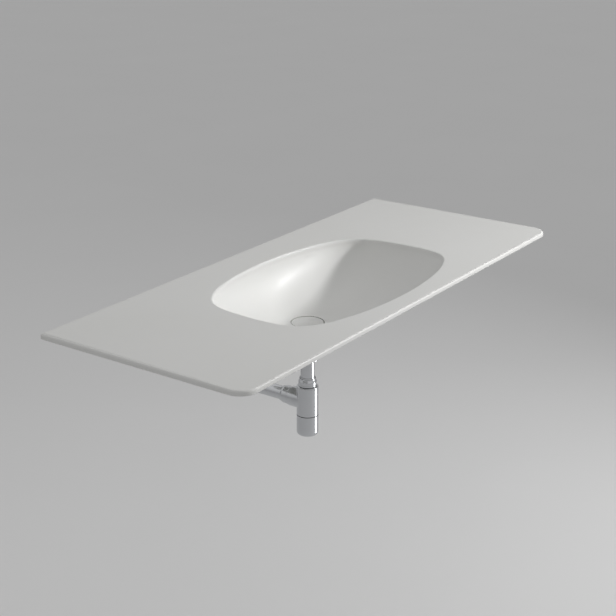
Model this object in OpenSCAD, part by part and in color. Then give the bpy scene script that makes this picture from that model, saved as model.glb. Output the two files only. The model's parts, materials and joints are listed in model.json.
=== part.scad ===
// Wall-hung washbasin: a thin ceramic slab with a dished bowl, its push-open waste,
// a chrome bottle trap and the bolts that hang it on the wall.
// Millimetres. X runs along the wall, +Y into the wall, +Z up.
// The origin lies in the wall's face, midway between the two inner bolts.

/* [Deck] */
// Length of the slab along the wall
basin_l = 1200; // [1130:10:1400]
// Width of the slab from the wall to its front edge
basin_w = 500; // [470:5:560]
// Thickness of the slab
deck_t = 12; // [10:0.5:16]
// Rounding of the slab's long edges
edge_r = 4; // [2:0.5:4.5]
// Plan radius of the two front corners
front_corner_r = 38; // [15:1:60]
// Plan radius of the two corners at the wall
back_corner_r = 6; // [5:0.5:12]

/* [Bowl] */
// Length of the bowl's opening along the wall
bowl_l = 585; // [520:5:640]
// Flat deck in front of the bowl
front_land = 47; // [40:1:70]
// Flat deck between the bowl and the wall
back_land = 87; // [84:1:95]
// Distance from the wall to the bowl's longest line
widest_y = 301; // [285:1:315]
// Depth of the bowl's floor below the deck
bowl_depth = 116; // [100:1:122]
// Thickness of the bowl's wall
bowl_wall = 12; // [9:0.5:14]
// Radius that rolls the deck over into the bowl
rim_r = 7; // [4:0.5:9]
// How square the bowl's outline is (2 is an ellipse)
outline_power = 7.5; // [4:0.5:9]
// How far the front edge bows, as a share of its distance from the longest line
front_bow = 0.297; // [0.2:0.01:0.35]
// How far the back edge bows, as a share of its distance from the longest line
back_bow = 0.243; // [0.15:0.01:0.3]
// How far the two ends bow, as a share of the half length
end_bow = 0.068; // [0:0.01:0.12]
// How full the slope towards the front edge is (1 is nearly straight)
front_fullness = 1.06; // [1:0.02:1.1]
// How full the slope towards the wall is
back_fullness = 1.6; // [1.2:0.05:2]
// Width of the flat floor left around the waste's recess
floor_land = 4; // [2:0.5:8]

/* [Underside] */
// Height of the plate that stands against the wall, below the deck's top
wall_plate_h = 110; // [95:1:118]
// Thickness of that plate
wall_plate_t = 14; // [12:0.5:18]
// Length of the plate's deep middle part
wall_plate_l = 660; // [600:10:700]
// Length of the plate at its shallow ends
wall_plate_top_l = 1040; // [1000:10:1060]
// Height of the plate at its shallow ends, below the deck's top
wall_plate_end_h = 45; // [40:1:50]
// Thickness of the ribs under the deck
rib_t = 12; // [8:1:16]
// Reach of the inner ribs from the wall
inner_rib_l = 420; // [380:5:440]
// Reach of the outer ribs from the wall
outer_rib_l = 360; // [300:5:380]
// Distance of the outer ribs from the middle
outer_rib_x = 495; // [480:1:505]

/* [Wall bolts] */
// Distance between the two inner bolts
inner_bolt_spacing = 280; // [260:10:300]
// Distance between the two outer bolts
outer_bolt_spacing = 880; // [840:10:920]
// Height of the deck's top above the bolts
bolt_drop = 50; // [42:1:52]
// Radius of the bolt's wood screw, in the wall
screw_r = 5; // [4:0.5:6]
// Length of the wood screw behind the wall's face
screw_l = 60; // [50:1:90]
// Radius of the bolt's metric thread
thread_r = 4.7; // [3.5:0.1:4.8]
// Length of the plain neck between the threads
neck_l = 6; // [4:0.5:9]
// Play between each sleeve and its hole in the plate
sleeve_gap = 0.2; // [0.1:0.05:0.4]
// Wall thickness of the sleeves
sleeve_wall = 5.8; // [4:0.1:6.5]
// Thickness of the sleeves' flange
sleeve_flange_t = 3; // [2:0.5:4]
// How far the flange stands out around the sleeve
sleeve_flange_w = 3; // [1.5:0.25:4]
// Radius of the washers
washer_r = 15; // [14:0.5:17]
// Thickness of the washers
washer_t = 2.5; // [1.5:0.5:3]
// Width of the nuts across their flats
nut_af = 17; // [15:1:19]
// Height of the nuts
nut_h = 8; // [6:0.5:9]
// Length of thread that stands out past the nut
thread_end = 6; // [3:0.5:8]
// Wall thickness of the caps
cap_wall = 1.6; // [1:0.1:2.5]
// Play between the nut's corners and its cap
cap_gap = 0.5; // [0.3:0.1:0.8]

/* [Waste] */
// Distance from the wall to the waste's middle
waste_y = 210; // [200:1:218]
// Radius of the recess around the waste
recess_r = 38.5; // [37:0.5:41]
// Depth of that recess
recess_h = 8; // [6:0.5:9]
// Ceramic left below the recess
boss_t = 14; // [10:1:20]
// Radius of the waste's hole in the ceramic
waste_hole_r = 23; // [22:0.25:24]
// Outer radius of the waste body
tail_r = 20.95; // [20:0.05:21.2]
// Radius of the waste body's bore
tail_bore_r = 18; // [16:0.25:18.5]
// Length of the waste body below the bowl
tail_l = 60; // [54:1:72]
// Radius of the waste's flange
flange_r = 35; // [31:0.5:36]
// Thickness of the waste's flange
flange_t = 2.5; // [2:0.25:3]
// Thickness of the gasket under the flange
gasket_t = 1.5; // [1:0.25:2]
// Width of the gasket and washer under the bowl, outside the waste body
under_gasket_w = 12; // [8:0.5:14]
// Thickness of the gasket under the bowl
under_gasket_t = 4; // [3:0.5:5]
// Thickness of the slide washer
slide_washer_t = 2; // [1:0.5:3]
// Thickness of the locknut
locknut_t = 10; // [8:0.5:12]
// Width of the locknut across its flats
locknut_af = 56; // [52:1:60]

/* [Plug] */
// Radius of the ceramic cover
cover_r = 36; // [30:0.5:36.5]
// Height of the cover's crown above the bowl's floor
cover_proud = 2; // [1.5:0.25:3]
// Fall of the cover's top from its crown to its edge
cover_crown = 2.4; // [1:0.1:2.6]
// Gap between the shut cover and the flange
cover_gap = 0.5; // [0.3:0.1:0.8]
// Travel of the plug from shut to open
plug_travel = 8; // [6:0.5:9]
// Radius of the carrier under the cover
carrier_r = 28; // [26:0.5:29]
// Thickness of the carrier
carrier_t = 2.5; // [2:0.25:3]
// Width of the seal's ring
seal_w = 5; // [3:0.5:6]
// Radius of the carrier's boss
boss_r = 5; // [4.5:0.25:6]
// Height of the carrier's boss
boss_h = 3; // [2:0.5:4]
// Radius of the stem
stem_r = 3; // [2.5:0.1:3.2]
// Radius of the bore that the stem's piston slides in
cartridge_bore_r = 5.2; // [5.1:0.1:5.6]
// Wall thickness of the cartridge
cartridge_wall = 1.8; // [1.2:0.1:2.2]
// Room for the spring below the piston, with the plug shut
spring_room = 12; // [10:0.5:14]
// Radius of the spring's wire
wire_r = 0.5; // [0.4:0.05:0.6]
// Radius of the spring's coil, to the middle of its wire
coil_r = 4.1; // [3.8:0.1:4.2]
// Turns of the spring
coil_turns = 5; // [4:1:6]

/* [Trap] */
// Radius of the tubes
tube_r = 16; // [14:0.5:16.5]
// Wall thickness of the tubes
tube_wall = 1; // [0.8:0.1:1.5]
// Radius of the coupling nut
coupling_r = 25; // [24.5:0.25:28]
// Radius of the slip nuts
slip_nut_r = 21; // [20.5:0.25:23]
// Height of the coupling nut's foot below the waste body's end
coupling_drop = 7; // [6:0.5:9]
// Length of thread that the coupling nut takes
coupling_thread_l = 15; // [12:0.5:18]
// Radius of the bottle
bottle_r = 25; // [24.5:0.5:30]
// Wall thickness of the bottle
bottle_wall = 2; // [1.5:0.25:2.5]
// Length of the dip tube that shows between its two nuts
tube_shown = 41; // [20:1:120]
// Height of the upper slip nut, down to the bottle's shoulder
slip_nut_h = 22; // [20:0.5:26]
// Depth of the outlet's middle below the bottle's top
outlet_below_top = 37; // [33:0.5:45]
// Depth of the seam above the cup below the outlet's middle
seam_below_outlet = 33; // [30:0.5:42]
// Height of the cup
cup_h = 48.5; // [42:0.5:80]
// Rounding of the cup's base
cup_round = 7; // [3:0.5:9]
// Thickness of the cup's floor
cup_floor = 3; // [2:0.25:4]
// Length of the thread between the cup and the body
cup_thread_l = 13; // [10:1:14]
// Thickness of the cup's gasket
cup_gasket_t = 1.5; // [1:0.25:2]
// Gap between the dip tube's end and the cup's floor
dip_gap = 20; // [17:1:24]
// Reach of the outlet's collar from the bottle's middle
collar_l = 44; // [40:1:52]
// Length of the outlet slip nut
outlet_nut_l = 27; // [22:1:32]
// Length of the wall pipe behind the wall's face
pipe_behind_wall = 50; // [30:1:80]
// Radius of the rosette
rosette_r = 36; // [30:1:42]
// Depth of the rosette
rosette_h = 12; // [8:1:18]
// Sheet thickness of the rosette
rosette_t = 1.5; // [1:0.25:2]

/* [Clearances] */
// Play between a thread and its nut
thread_gap = 0.1; // [0.05:0.05:0.2]
// Play between a tube and what slides on it
tube_gap = 0.1; // [0.05:0.05:0.2]
// Play between the stem's parts
stem_gap = 0.1; // [0.05:0.05:0.15]
// Room between pieces of different moving groups
clear_gap = 0.3; // [0.2:0.05:0.5]

/* [Hidden] */
$fn = 64;

// Facets of the bowl: points around it and steps down its side
round_steps = 72;
side_steps = 9;
rim_steps = 3;
edge_steps = 5;
// A little extra where one solid cuts or enters another
cut = 1;

// Heights, from the origin
deck_z = bolt_drop;
floor_z = deck_z - bowl_depth;
seat_z = floor_z - recess_h;
boss_z = seat_z - boss_t;
flange_z = seat_z + gasket_t;
flange_top_z = flange_z + flange_t;
tail_z = boss_z - tail_l;

// Bowl outline
bowl_a = bowl_l / 2;
front_b = basin_w - front_land - widest_y;
back_b = widest_y - back_land;
floor_r = recess_r + floor_land;
// Power of the side's slope: 1 would leave a point at the floor's middle
slope_power = 1.75;

// Sleeves, bolts and nuts
sleeve_r = thread_r + thread_gap + sleeve_wall;
sleeve_flange_r = sleeve_r + sleeve_flange_w;
bolt_xs = [for (side = [-1, 1], spacing = [inner_bolt_spacing, outer_bolt_spacing]) side * spacing / 2];
washer_y = -wall_plate_t - sleeve_flange_t - washer_t;
nut_y = washer_y - nut_h;
bolt_end_y = nut_y - thread_end;
nut_corner_r = nut_af / sqrt(3);
cap_bore_r = nut_corner_r + cap_gap;
// How far the sleeves stay short of the wall, and the bolts short of their caps
back_gap = 1;
bolt_room = 1;

// Waste under the bowl
under_gasket_z = boss_z - under_gasket_t;
slide_washer_z = under_gasket_z - slide_washer_t;
locknut_z = slide_washer_z - locknut_t;
thread_bore_r = tail_r + thread_gap;

// Plug and its cartridge, with the plug shut
cover_z = flange_top_z + cover_gap;
cover_top_z = floor_z + cover_proud;
carrier_top_z = cover_z + carrier_t;
carrier_roof = 1;
stem_top_z = carrier_top_z - carrier_roof;
seal_groove_h = 1;
seal_top_z = cover_z + seal_groove_h;
seal_inset = 4;
seal_r_out = carrier_r - seal_inset;
seal_r_in = seal_r_out - seal_w;
stem_stop = 0.5;
boss_room = 2.5;
cartridge_lip = 2;
cartridge_floor = 2;
cartridge_stud_r = 4;
cartridge_r = cartridge_bore_r + cartridge_wall;
cartridge_top_z = cover_z - boss_h - boss_room;
piston_h = 4;
piston_z = cartridge_top_z - cartridge_lip - stem_stop - plug_travel - piston_h;
spring_foot_z = piston_z - spring_room;
cartridge_z = spring_foot_z - cartridge_floor;
hub_h = 6;
hub_r = 8;
hub_z = cartridge_z - hub_h;
coil_h = spring_room - 2 * wire_r;
coil_pitch = coil_h / coil_turns;

// Coupling between the waste body and the dip tube
coupling_foot_z = tail_z - coupling_drop;
coupling_top_z = tail_z + coupling_thread_l;
coupling_floor = 2.5;
collar_z = coupling_foot_z + coupling_floor;
collar_h = 2;
collar_inset = 1;
collar_r = tail_r - collar_inset;
washer_foot_z = collar_z + collar_h;

// Trap
slip_top_z = coupling_foot_z - tube_shown;
bottle_top_z = slip_top_z - slip_nut_h;
outlet_z = bottle_top_z - outlet_below_top;
seam_z = outlet_z - seam_below_outlet;
cup_top_z = seam_z - cup_gasket_t;
cup_base_z = cup_top_z - cup_h;
dip_end_z = cup_base_z + cup_floor + dip_gap;
// Tube seats, the threaded spigots around them, and what closes each one
seat_r = tube_r + tube_gap;
spigot_wall = 2.4;
spigot_r = seat_r + spigot_wall;
slip_lip = 3;
seal_h = 3;
nut_foot_gap = 0.4;
// Where the middle point of a two-step rounded edge lies, as a share of its size
bend_share = 0.3;
spigot_top_z = slip_top_z - slip_lip - seal_h;
// Threaded skirt that the cup screws over
cup_bore_r = bottle_r - bottle_wall;
skirt_r = cup_bore_r - thread_gap;
skirt_wall = 1.7;
skirt_end_z = seam_z - cup_thread_l;
// Outlet branch: its collar, and how far the pipe's end stays from the bottle
collar_step = 2;
collar_out_r = slip_nut_r + collar_step;
outlet_nut_y = -waste_y + collar_l;
outlet_lip_y = outlet_nut_y + outlet_nut_l;
pipe_bottle_gap = 8;
pipe_front_y = -waste_y + bottle_r + pipe_bottle_gap;
spigot_end_y = outlet_lip_y - slip_lip - seal_h;

// A point of the bowl's outline in plan, at direction t, drawn out by grow
function outline(t, grow) =
    let (r = pow(pow(abs(cos(t)), outline_power) + pow(abs(sin(t)), outline_power), -1 / outline_power),
        u = r * cos(t),
        v = r * sin(t),
        b = (v > 0 ? back_b : front_b) + grow,
        bow = v > 0 ? back_bow : front_bow)
    [(bowl_a + grow) * u * (1 - end_bow * v * v), b * v * (1 - bow * u * u) - widest_y];

// A point of the bowl's side: s runs from 0 at the flat floor to 1 at the rim
function side_point(t, s, grow, top, foot) =
    let (c = [0, -waste_y],
        p = outline(t, grow) - c,
        d = norm(p),
        in_r = (floor_r + grow) / d,
        q = c + p * (in_r + s * (1 - in_r)),
        w = (1 - p[1] / d) / 2,
        full = back_fullness + (front_fullness - back_fullness) * w * w,
        fall = pow(1 - pow(s, slope_power), 1 / full))
    [q[0], q[1], top + (foot - top) * fall];

// A ring of the rolled rim: a runs from 0, level with the side, to 90 on the deck
function rim_point(t, a) =
    let (p = outline(t, rim_r * (1 - cos(a))))
    [p[0], p[1], deck_z - rim_r * (1 - sin(a))];

// Closed solid from a stack of rings, each with the same number of points, lowest first
module ring_stack(rings) {
    n = len(rings[0]);
    m = len(rings);
    sides = [for (j = [0 : m - 2], i = [0 : n - 1])
        let (k = (i + 1) % n)
        [j * n + i, (j + 1) * n + i, (j + 1) * n + k, j * n + k]];
    foot = [[for (i = [0 : n - 1]) i]];
    top = [[for (i = [0 : n - 1]) m * n - 1 - i]];
    polyhedron(points = [for (r = rings, p = r) p], faces = concat(foot, sides, top), convexity = 6);
}

// Edge of the slab: a section of width w, flat inside and rounded outside
function edge_section(w) = concat(
    [[0, deck_z]],
    [for (i = [0 : edge_steps]) let (a = 90 * i / edge_steps)
        [w - edge_r + edge_r * sin(a), deck_z - edge_r + edge_r * cos(a)]],
    [for (i = [0 : edge_steps]) let (a = 90 * i / edge_steps)
        [w - edge_r + edge_r * cos(a), deck_z - deck_t + edge_r - edge_r * sin(a)]],
    [[0, deck_z - deck_t]]);

// Edge strip of length l along X, with its rounded side towards +Y
module edge_strip(l, w) {
    translate([-l / 2, 0, 0])
        rotate([90, 0, 90])
            linear_extrude(height = l)
                polygon(edge_section(w));
}

// Quarter round corner of plan radius r, from direction a
module edge_corner(r, a) {
    rotate([0, 0, a])
        rotate_extrude(angle = 90)
            polygon(edge_section(r));
}

// The flat slab with its rounded edges
module slab() {
    front_x = basin_l / 2 - front_corner_r;
    back_x = basin_l / 2 - back_corner_r;
    side_w = basin_w - front_corner_r - back_corner_r;
    translate([0, -basin_w + front_corner_r, 0])
        mirror([0, 1, 0])
            edge_strip(2 * front_x, front_corner_r);
    translate([0, -back_corner_r, 0])
        edge_strip(2 * back_x, back_corner_r);
    for (side = [-1, 1]) {
        translate([side * front_x, -basin_w + front_corner_r, 0])
            edge_corner(front_corner_r, side > 0 ? 270 : 180);
        translate([side * back_x, -back_corner_r, 0])
            edge_corner(back_corner_r, side > 0 ? 0 : 90);
    }
    side_y = -back_corner_r - side_w / 2;
    translate([0, side_y, 0])
        rotate([0, 0, 270])
            edge_strip(side_w, basin_l / 2);
    translate([0, side_y, 0])
        rotate([0, 0, 90])
            edge_strip(side_w, basin_l / 2);
}

// The bowl's hollow, from above the deck down to the flat floor
module bowl_hollow() {
    around = [for (i = [0 : round_steps - 1]) 360 * i / round_steps];
    side = [for (j = [0 : side_steps])
        [for (t = around) side_point(t, sin(90 * j / side_steps), 0, deck_z - rim_r, floor_z)]];
    rim = [for (j = [1 : rim_steps])
        [for (t = around) rim_point(t, 90 * j / rim_steps)]];
    above = [for (t = around) [outline(t, rim_r)[0], outline(t, rim_r)[1], deck_z + cut]];
    ring_stack(concat(side, rim, [above]));
}

// The bowl's outer shell, from inside the slab down to its underside
module bowl_belly() {
    around = [for (i = [0 : round_steps - 1]) 360 * i / round_steps];
    ring_stack([for (j = [0 : side_steps])
        [for (t = around)
            side_point(t, sin(90 * j / side_steps), bowl_wall, deck_z - deck_t / 2, floor_z - bowl_wall)]]);
}

// The plate against the wall, with a hole for each bolt's sleeve
module wall_plate() {
    top = deck_z - deck_t / 2;
    corner = deck_z - wall_plate_end_h;
    foot = deck_z - wall_plate_h;
    half = wall_plate_l / 2;
    top_half = wall_plate_top_l / 2;
    rotate([90, 0, 0])
        linear_extrude(height = wall_plate_t)
            polygon([[-top_half, top], [-top_half, corner], [-half, foot],
                [half, foot], [top_half, corner], [top_half, top]]);
}

// A rib under the deck at distance x from the middle, with its foot at depth h at the wall
module rib(x, h, reach) {
    translate([x - rib_t / 2, 0, 0])
        rotate([90, 0, 90])
            linear_extrude(height = rib_t)
                polygon([[-wall_plate_t / 2, deck_z - deck_t / 2], [-wall_plate_t / 2, deck_z - h],
                    [-wall_plate_t, deck_z - h], [-reach, deck_z - deck_t], [-reach, deck_z - deck_t / 2]]);
}

module at_waste() {
    translate([0, -waste_y, 0]) children();
}

// Places children with their +Z along the wall's inward direction, at height z
module to_wall(x, z) {
    translate([x, 0, z]) rotate([-90, 0, 0]) children();
}

module at_bolts() {
    for (x = bolt_xs)
        to_wall(x, 0) children();
}

// Ring of outer radius ro and bore ri between heights z0 and z1
module ring(ro, ri, z0, z1) {
    rotate_extrude()
        polygon([[ri, z0], [ro, z0], [ro, z1], [ri, z1]]);
}

module basin() {
    inner_rib_x = wall_plate_l / 2 - rib_t;
    // The ribs' feet lie off the plate's foot, and the boss stands out from the flat floor
    rib_step = 4;
    boss_step = 3;
    color("whitesmoke")
    difference() {
        union() {
            slab();
            bowl_belly();
            wall_plate();
            for (side = [-1, 1]) {
                rib(side * inner_rib_x, wall_plate_h - rib_step, inner_rib_l);
                rib(side * outer_rib_x, wall_plate_end_h + rib_step, outer_rib_l);
            }
            at_waste() translate([0, 0, boss_z]) cylinder(r = floor_r + boss_step, h = boss_t);
        }
        bowl_hollow();
        at_waste() translate([0, 0, seat_z]) cylinder(r = recess_r, h = recess_h + cut);
        at_waste() translate([0, 0, boss_z - cut]) cylinder(r = waste_hole_r, h = boss_t + 2 * cut);
        at_bolts() translate([0, 0, -wall_plate_t - cut])
            cylinder(r = sleeve_r + sleeve_gap, h = wall_plate_t + 2 * cut);
    }
}

module bolt_sleeves() {
    bore = thread_r + thread_gap;
    flange_y = -wall_plate_t - sleeve_flange_t;
    color("gainsboro")
    at_bolts()
        rotate_extrude()
            polygon([[bore, flange_y], [sleeve_flange_r, flange_y], [sleeve_flange_r, -wall_plate_t],
                [sleeve_r, -wall_plate_t], [sleeve_r, -back_gap], [bore, -back_gap]]);
}

module hanger_bolts() {
    chamfer = 0.7;
    neck_cut = 0.5;
    neck_r = thread_r - neck_cut;
    tip_h = 8;
    tip_r = 1;
    color("silver")
    at_bolts()
        rotate_extrude()
            polygon([[0, bolt_end_y], [thread_r - chamfer, bolt_end_y], [thread_r, bolt_end_y + chamfer],
                [thread_r, -neck_l], [neck_r, -neck_l], [neck_r, 0], [screw_r, 0], [screw_r, screw_l],
                [tip_r, screw_l + tip_h], [0, screw_l + tip_h]]);
}

module bolt_washers() {
    color("silver")
    at_bolts()
        ring(washer_r, thread_r + thread_gap, washer_y, washer_y + washer_t);
}

module bolt_nuts() {
    color("silver")
    at_bolts()
        difference() {
            translate([0, 0, nut_y]) cylinder(r = nut_corner_r, h = nut_h, $fn = 6);
            translate([0, 0, nut_y - cut]) cylinder(r = thread_r + thread_gap, h = nut_h + 2 * cut);
        }
}

module nut_caps() {
    out_r = cap_bore_r + cap_wall;
    inner_y = bolt_end_y - bolt_room;
    crown_y = inner_y - cap_wall;
    crown = 1.5;
    color("white")
    at_bolts()
        rotate_extrude()
            polygon([[cap_bore_r, washer_y], [out_r, washer_y], [out_r, inner_y], [out_r - crown, crown_y],
                [0, crown_y], [0, inner_y], [cap_bore_r, inner_y]]);
}

module flange_gasket() {
    edge_step = 1;
    color("dimgray")
    at_waste() ring(flange_r - edge_step, thread_bore_r, seat_z, flange_z);
}

module waste_body() {
    spider_w = 4;
    color("silver")
    at_waste() difference() {
        union() {
            rotate_extrude()
                polygon([[tail_bore_r, tail_z], [tail_r, tail_z], [tail_r, flange_z], [flange_r, flange_z],
                    [flange_r, flange_top_z], [tail_bore_r, flange_top_z]]);
            for (a = [0, 90])
                rotate([0, 0, a])
                    translate([-tail_bore_r - cut, -spider_w / 2, hub_z])
                        cube([2 * (tail_bore_r + cut), spider_w, hub_h]);
            translate([0, 0, hub_z]) cylinder(r = hub_r, h = hub_h);
        }
        translate([0, 0, hub_z - cut]) cylinder(r = cartridge_stud_r + thread_gap, h = hub_h + 2 * cut);
    }
}

module under_gasket() {
    color("dimgray")
    at_waste() ring(tail_r + under_gasket_w, thread_bore_r, under_gasket_z, boss_z);
}

module slide_washer() {
    edge_step = 1;
    color("white")
    at_waste() ring(tail_r + under_gasket_w - edge_step, thread_bore_r, slide_washer_z, under_gasket_z);
}

module waste_locknut() {
    color("goldenrod")
    at_waste() difference() {
        translate([0, 0, locknut_z]) cylinder(r = locknut_af / sqrt(3), h = locknut_t, $fn = 6);
        translate([0, 0, locknut_z - cut]) cylinder(r = thread_bore_r, h = locknut_t + 2 * cut);
    }
}

module cartridge_body() {
    lip_r = stem_r + stem_gap;
    lip_z = cartridge_top_z - cartridge_lip;
    stud_end = 2;
    stud_z = hub_z - stud_end;
    color("goldenrod")
    at_waste()
        rotate_extrude()
            polygon([[0, stud_z], [cartridge_stud_r, stud_z], [cartridge_stud_r, cartridge_z],
                [cartridge_r, cartridge_z], [cartridge_r, cartridge_top_z], [lip_r, cartridge_top_z],
                [lip_r, lip_z], [cartridge_bore_r, lip_z], [cartridge_bore_r, spring_foot_z],
                [0, spring_foot_z]]);
}

// One unbroken wire, wound from the cartridge's floor to the stem's piston
module cartridge_spring() {
    wire_sides = 6;
    turn_steps = 10;
    steps = turn_steps * coil_turns;
    slope = atan(coil_pitch / (2 * PI * coil_r));
    z0 = spring_foot_z + wire_r;
    rings = [for (i = [0 : steps])
        let (a = 360 * i / turn_steps, z = z0 + coil_h * i / steps)
        [for (j = [0 : wire_sides - 1])
            let (b = 360 * j / wire_sides, out = wire_r * cos(b), up = wire_r * sin(b))
            [(coil_r + out) * cos(a) + up * sin(slope) * sin(a),
                (coil_r + out) * sin(a) - up * sin(slope) * cos(a),
                z + up * cos(slope)]]];
    // Least distance between the faces of two turns, measured on the wire's own points
    turn_gap = min([for (p = rings[0], q = rings[turn_steps]) norm(p - q)]);
    echo(spring_turn_gap = turn_gap);
    color("silver")
    at_waste() ring_stack(rings);
}

module plug_stem() {
    piston_r = cartridge_bore_r - stem_gap;
    color("silver")
    at_waste()
        rotate_extrude()
            polygon([[0, piston_z], [piston_r, piston_z], [piston_r, piston_z + piston_h],
                [stem_r, piston_z + piston_h], [stem_r, stem_top_z], [0, stem_top_z]]);
}

module plug_carrier() {
    hole_r = stem_r + stem_gap / 2;
    color("lightgray")
    at_waste()
        rotate_extrude()
            polygon([[hole_r, cover_z - boss_h], [boss_r, cover_z - boss_h], [boss_r, cover_z],
                [seal_r_in, cover_z], [seal_r_in, seal_top_z], [seal_r_out, seal_top_z],
                [seal_r_out, cover_z], [carrier_r, cover_z], [carrier_r, carrier_top_z],
                [0, carrier_top_z], [0, stem_top_z], [hole_r, stem_top_z]]);
}

module plug_seal() {
    color("dimgray")
    at_waste() ring(seal_r_out, seal_r_in, flange_top_z, seal_top_z);
}

// Shallow ceramic cap: a crowned disc with a rounded edge, hollow underneath for the carrier
module plug_cover() {
    edge_z = cover_top_z - cover_crown;
    round_r = 1.2;
    foot_chamfer = 0.5;
    inner_r = carrier_r + clear_gap;
    corner_steps = 3;
    crown_steps = 6;
    color("whitesmoke")
    at_waste()
        rotate_extrude()
            polygon(concat(
                [[inner_r, cover_z], [cover_r - foot_chamfer, cover_z], [cover_r, cover_z + foot_chamfer]],
                [for (i = [0 : corner_steps]) let (a = 90 * i / corner_steps)
                    [cover_r - round_r + round_r * cos(a), edge_z - round_r + round_r * sin(a)]],
                [for (i = [1 : crown_steps]) let (x = (cover_r - round_r) * (1 - i / crown_steps))
                    [x, cover_top_z - cover_crown * pow(x / (cover_r - round_r), 2)]],
                [[0, carrier_top_z], [inner_r, carrier_top_z]]));
}

module coupling_nut() {
    edge = 1.5;
    color("silver")
    at_waste()
        rotate_extrude()
            polygon([[seat_r, coupling_foot_z], [coupling_r - edge, coupling_foot_z],
                [coupling_r, coupling_foot_z + edge], [coupling_r, coupling_top_z - edge],
                [coupling_r - edge, coupling_top_z], [thread_bore_r, coupling_top_z],
                [thread_bore_r, collar_z], [seat_r, collar_z]]);
}

module coupling_washer() {
    color("dimgray")
    at_waste() ring(collar_r, tube_r, washer_foot_z, tail_z);
}

module dip_tube() {
    bore = tube_r - tube_wall;
    color("silver")
    at_waste()
        rotate_extrude()
            polygon([[bore, dip_end_z], [tube_r, dip_end_z], [tube_r, collar_z], [collar_r, collar_z],
                [collar_r, washer_foot_z], [bore, washer_foot_z]]);
}

// Outline of a slip nut along its axis: from the mouth at a to the lip at b
function slip_nut_section(a, b, edge) =
    let (s = sign(b - a), thread_bore = spigot_r + thread_gap, chamfer = 0.8, bend = edge * bend_share)
    [[thread_bore, a], [slip_nut_r - chamfer, a], [slip_nut_r, a + s * chamfer], [slip_nut_r, b - s * edge],
        [slip_nut_r - bend, b - s * bend], [slip_nut_r - edge, b],
        [seat_r, b], [seat_r, b - s * slip_lip], [thread_bore, b - s * slip_lip]];

module inlet_slip_nut() {
    edge = 3.5;
    color("silver")
    at_waste()
        rotate_extrude()
            polygon(slip_nut_section(bottle_top_z + nut_foot_gap, slip_top_z, edge));
}

module inlet_seal() {
    color("dimgray")
    at_waste() ring(spigot_r, tube_r, spigot_top_z, spigot_top_z + seal_h);
}

module trap_body() {
    shoulder = 4;
    bend = shoulder * bend_share;
    neck_t = 2;
    roof_z = bottle_top_z - neck_t;
    skirt_bore_r = skirt_r - skirt_wall;
    branch_step = 2;
    branch_r = tube_r - branch_step;
    lip = 1;
    color("silver")
    difference() {
        union() {
            at_waste()
                rotate_extrude()
                    polygon([[0, spigot_top_z], [spigot_r, spigot_top_z], [spigot_r, bottle_top_z],
                        [bottle_r - shoulder, bottle_top_z], [bottle_r - bend, bottle_top_z - bend],
                        [bottle_r, bottle_top_z - shoulder], [bottle_r, seam_z], [skirt_r, seam_z],
                        [skirt_r, skirt_end_z], [0, skirt_end_z]]);
            to_wall(0, outlet_z)
                rotate_extrude()
                    polygon([[0, -waste_y], [collar_out_r, -waste_y], [collar_out_r, outlet_nut_y - lip],
                        [collar_out_r - lip, outlet_nut_y], [spigot_r, outlet_nut_y],
                        [spigot_r, spigot_end_y], [0, spigot_end_y]]);
        }
        at_waste()
            rotate_extrude()
                polygon([[0, spigot_top_z + cut], [seat_r, spigot_top_z + cut], [seat_r, roof_z],
                    [cup_bore_r, roof_z - shoulder], [cup_bore_r, seam_z + 2 * neck_t],
                    [skirt_bore_r, seam_z + neck_t], [skirt_bore_r, skirt_end_z - cut],
                    [0, skirt_end_z - cut]]);
        to_wall(0, outlet_z)
            rotate_extrude()
                polygon([[0, -waste_y], [branch_r, -waste_y], [branch_r, pipe_front_y],
                    [seat_r, pipe_front_y], [seat_r, spigot_end_y + cut], [0, spigot_end_y + cut]]);
    }
}

module trap_cup() {
    slot_l = 24;
    slot_w = 4;
    slot_h = 1.6;
    in_round = cup_round - bottle_wall;
    color("silver")
    at_waste() difference() {
        rotate_extrude()
            polygon(concat(
                [[0, cup_base_z]],
                [for (i = [0 : edge_steps]) let (a = 90 * i / edge_steps)
                    [bottle_r - cup_round + cup_round * sin(a),
                        cup_base_z + cup_round - cup_round * cos(a)]],
                [[bottle_r, cup_top_z], [cup_bore_r, cup_top_z]],
                [for (i = [edge_steps : -1 : 0]) let (a = 90 * i / edge_steps)
                    [cup_bore_r - in_round + in_round * sin(a),
                        cup_base_z + cup_floor + in_round - in_round * cos(a)]],
                [[0, cup_base_z + cup_floor]]));
        translate([-slot_l / 2, -slot_w / 2, cup_base_z - cut]) cube([slot_l, slot_w, slot_h + cut]);
    }
}

module cup_gasket() {
    color("dimgray")
    at_waste() ring(bottle_r - clear_gap, skirt_r + clear_gap, cup_top_z, seam_z);
}

module outlet_slip_nut() {
    edge = 2.5;
    color("silver")
    to_wall(0, outlet_z)
        rotate_extrude()
            polygon(slip_nut_section(outlet_nut_y + nut_foot_gap, outlet_lip_y, edge));
}

module outlet_seal() {
    color("dimgray")
    to_wall(0, outlet_z) ring(spigot_r, tube_r, spigot_end_y, spigot_end_y + seal_h);
}

// Straight tube into the wall. A shallow groove at the wall's face marks how far it goes in
module wall_pipe() {
    bore = tube_r - tube_wall;
    groove = 0.3;
    groove_w = 1.5;
    color("silver")
    to_wall(0, outlet_z)
        rotate_extrude()
            polygon([[bore, pipe_front_y], [tube_r, pipe_front_y], [tube_r, -groove_w],
                [tube_r - groove, -groove_w], [tube_r - groove, 0], [tube_r, 0],
                [tube_r, pipe_behind_wall], [bore, pipe_behind_wall]]);
}

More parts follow.
